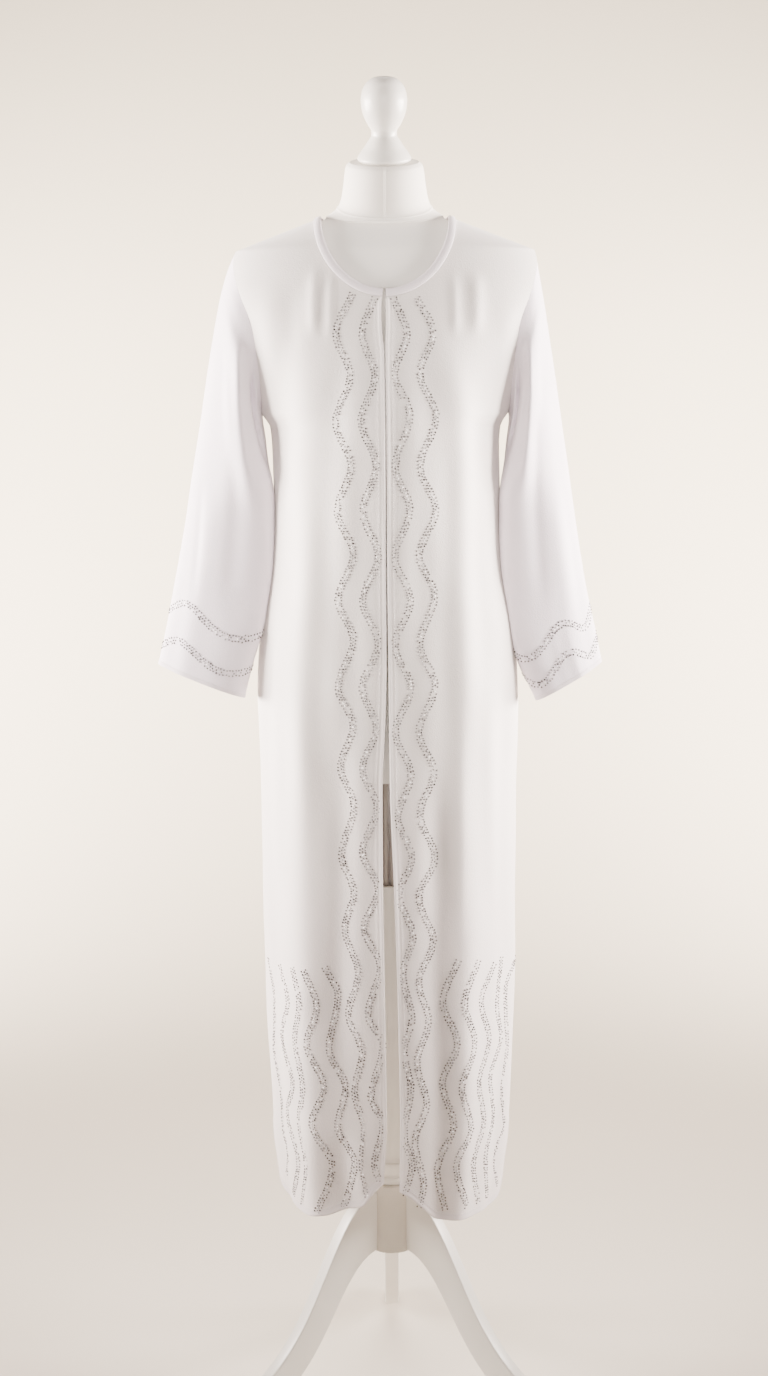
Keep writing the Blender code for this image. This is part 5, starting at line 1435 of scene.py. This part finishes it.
def matte_paper():
    """Uncoated backdrop paper: even, dull and slightly warm, drawn lighter on the floor than up the wall as
    painted light.

    Its back is left out, so that the stand shows from behind as well.
    """
    material, tree, shader = new_material("backdrop_paper", {"Roughness": 0.95, "Specular IOR Level": 0.2})
    place = add(tree, "ShaderNodeTexCoord").outputs["Object"]
    height = add(tree, "ShaderNodeSeparateXYZ", links={"Vector": place}).outputs["Z"]
    # painted light: the paper's colour goes from lighter on the floor to darker above 1.2 m
    rising = add(tree, "ShaderNodeMapRange", {"From Min": 0.0, "From Max": 1.2}, {"Value": height})
    colour = add(tree, "ShaderNodeMix", {6: linear("#EFE7DC"), 7: linear("#E4DDD1")},
                 {0: rising.outputs["Result"]}, data_type="RGBA")
    tree.links.new(colour.outputs[2], shader.inputs["Base Color"])
    back_side = add(tree, "ShaderNodeNewGeometry").outputs["Backfacing"]
    clear = add(tree, "ShaderNodeBsdfTransparent").outputs["BSDF"]
    one_sided = add(tree, "ShaderNodeMixShader", links={0: back_side, 1: shader.outputs["BSDF"], 2: clear})
    tree.links.new(one_sided.outputs["Shader"], tree.nodes["Material Output"].inputs["Surface"])
    return material


sweep = paper_sweep()
sweep.materials.append(matte_paper())
backdrop = bpy.data.objects.new("paper_sweep", sweep)
bpy.context.scene.collection.objects.link(backdrop)

# Studio light
# Softboxes at both sides and a little behind keep the fronts greyer than the flanks. Others stand before,
# overhead and over the floor behind, and two lamps wash the backdrop. Two weak strips inside the skirt
# stand for light that real crepe would let through to the pole.
SIDE_POWER, RIM_POWER, FRONT_POWER, TOP_POWER, WASH_POWER, GLOW_POWER = 40, 43, 5.5, 16, 108, 0.12
FLOOR_POWER, ROOM_LIGHT = 34, 0.03
WARM, WARMER = "#FFF3EA", "#FFF0DC"
CHEST, INSIDE_SKIRT = AXIS + (0, 0, 1.27), AXIS + (0, 0, 0.62)


def softbox(name, place, aim, width, height, power, colour, spread):
    """Area light that faces a point."""
    light = bpy.data.lights.new(name, "AREA")
    light.shape, light.size, light.size_y = "RECTANGLE", width, height
    light.energy, light.color, light.spread = power, linear(colour)[:3], math.radians(spread)
    thing = bpy.data.objects.new(name, light)
    turn = (Vector(aim) - Vector(place)).to_track_quat("-Z", "Y").to_matrix().to_4x4()
    thing.matrix_world = Matrix.Translation(place) @ turn
    bpy.context.scene.collection.objects.link(thing)


# name, place, what it faces, width, height, power, colour and spread in degrees
lamps = [
    ("front_softbox", (0.0, -3.3, 1.0), (0, 0, 1.35), 1.4, 1.0, FRONT_POWER, WARM, 40),
    ("floor_softbox", (0.0, 2.2, 3.6), (0, 1.1, 0), 2.4, 1.2, FLOOR_POWER, WARM, 70),
    ("top_softbox", (0.0, -1.2, 3.6), (0, 0, 1.2), 2.0, 1.2, TOP_POWER, WARM, 100),
]
for side, hand in (("left", -1), ("right", 1)):
    strip = INSIDE_SKIRT + (hand * 0.075, -0.098, 0)
    lamps += [
        (side + "_softbox", (hand * 2.5, -0.42, 1.32), CHEST, 0.8, 1.0, SIDE_POWER, WARM, 60),
        (side + "_rim_softbox", (hand * 2.4, 0.45, 1.42), CHEST, 0.8, 1.0, RIM_POWER, WARM, 60),
        (side + "_backdrop_wash", (hand * 1.7, 0.5, 0.9), (hand * 0.8, 2.5, 1.15), 0.8, 0.8, WASH_POWER,
         WARMER, 100),
        (side + "_glow", strip, INSIDE_SKIRT, 0.02, 0.6, GLOW_POWER, WARMER, 180),
    ]
for lamp in lamps:
    softbox(*lamp)
world = bpy.data.worlds.new("pale_studio")
world.use_nodes = True
surroundings = world.node_tree.nodes["Background"]
surroundings.inputs["Color"].default_value = linear("#F3EADF")
surroundings.inputs["Strength"].default_value = ROOM_LIGHT
bpy.context.scene.world = world

# Camera
# 50 mm on a full frame turned upright, 2.6 m from the pole at chest height, a little down and rolled.
CAMERA_AWAY, CAMERA_HEIGHT, CAMERA_SIDE = 2.6, 1.40, -0.0055
CAMERA_DOWN, CAMERA_ROLL = math.radians(8.4), math.radians(0.42)
lens = bpy.data.cameras.new("upright_camera")
lens.sensor_fit, lens.sensor_height, lens.lens = "VERTICAL", 36.0, 50.0
camera = bpy.data.objects.new("upright_camera", lens)
camera.matrix_world = (Matrix.Translation(AXIS + (CAMERA_SIDE, -CAMERA_AWAY, CAMERA_HEIGHT))
                       @ Matrix.Rotation(math.pi / 2 - CAMERA_DOWN, 4, "X")
                       @ Matrix.Rotation(-CAMERA_ROLL, 4, "Z"))
bpy.context.scene.collection.objects.link(camera)
bpy.context.scene.camera = camera
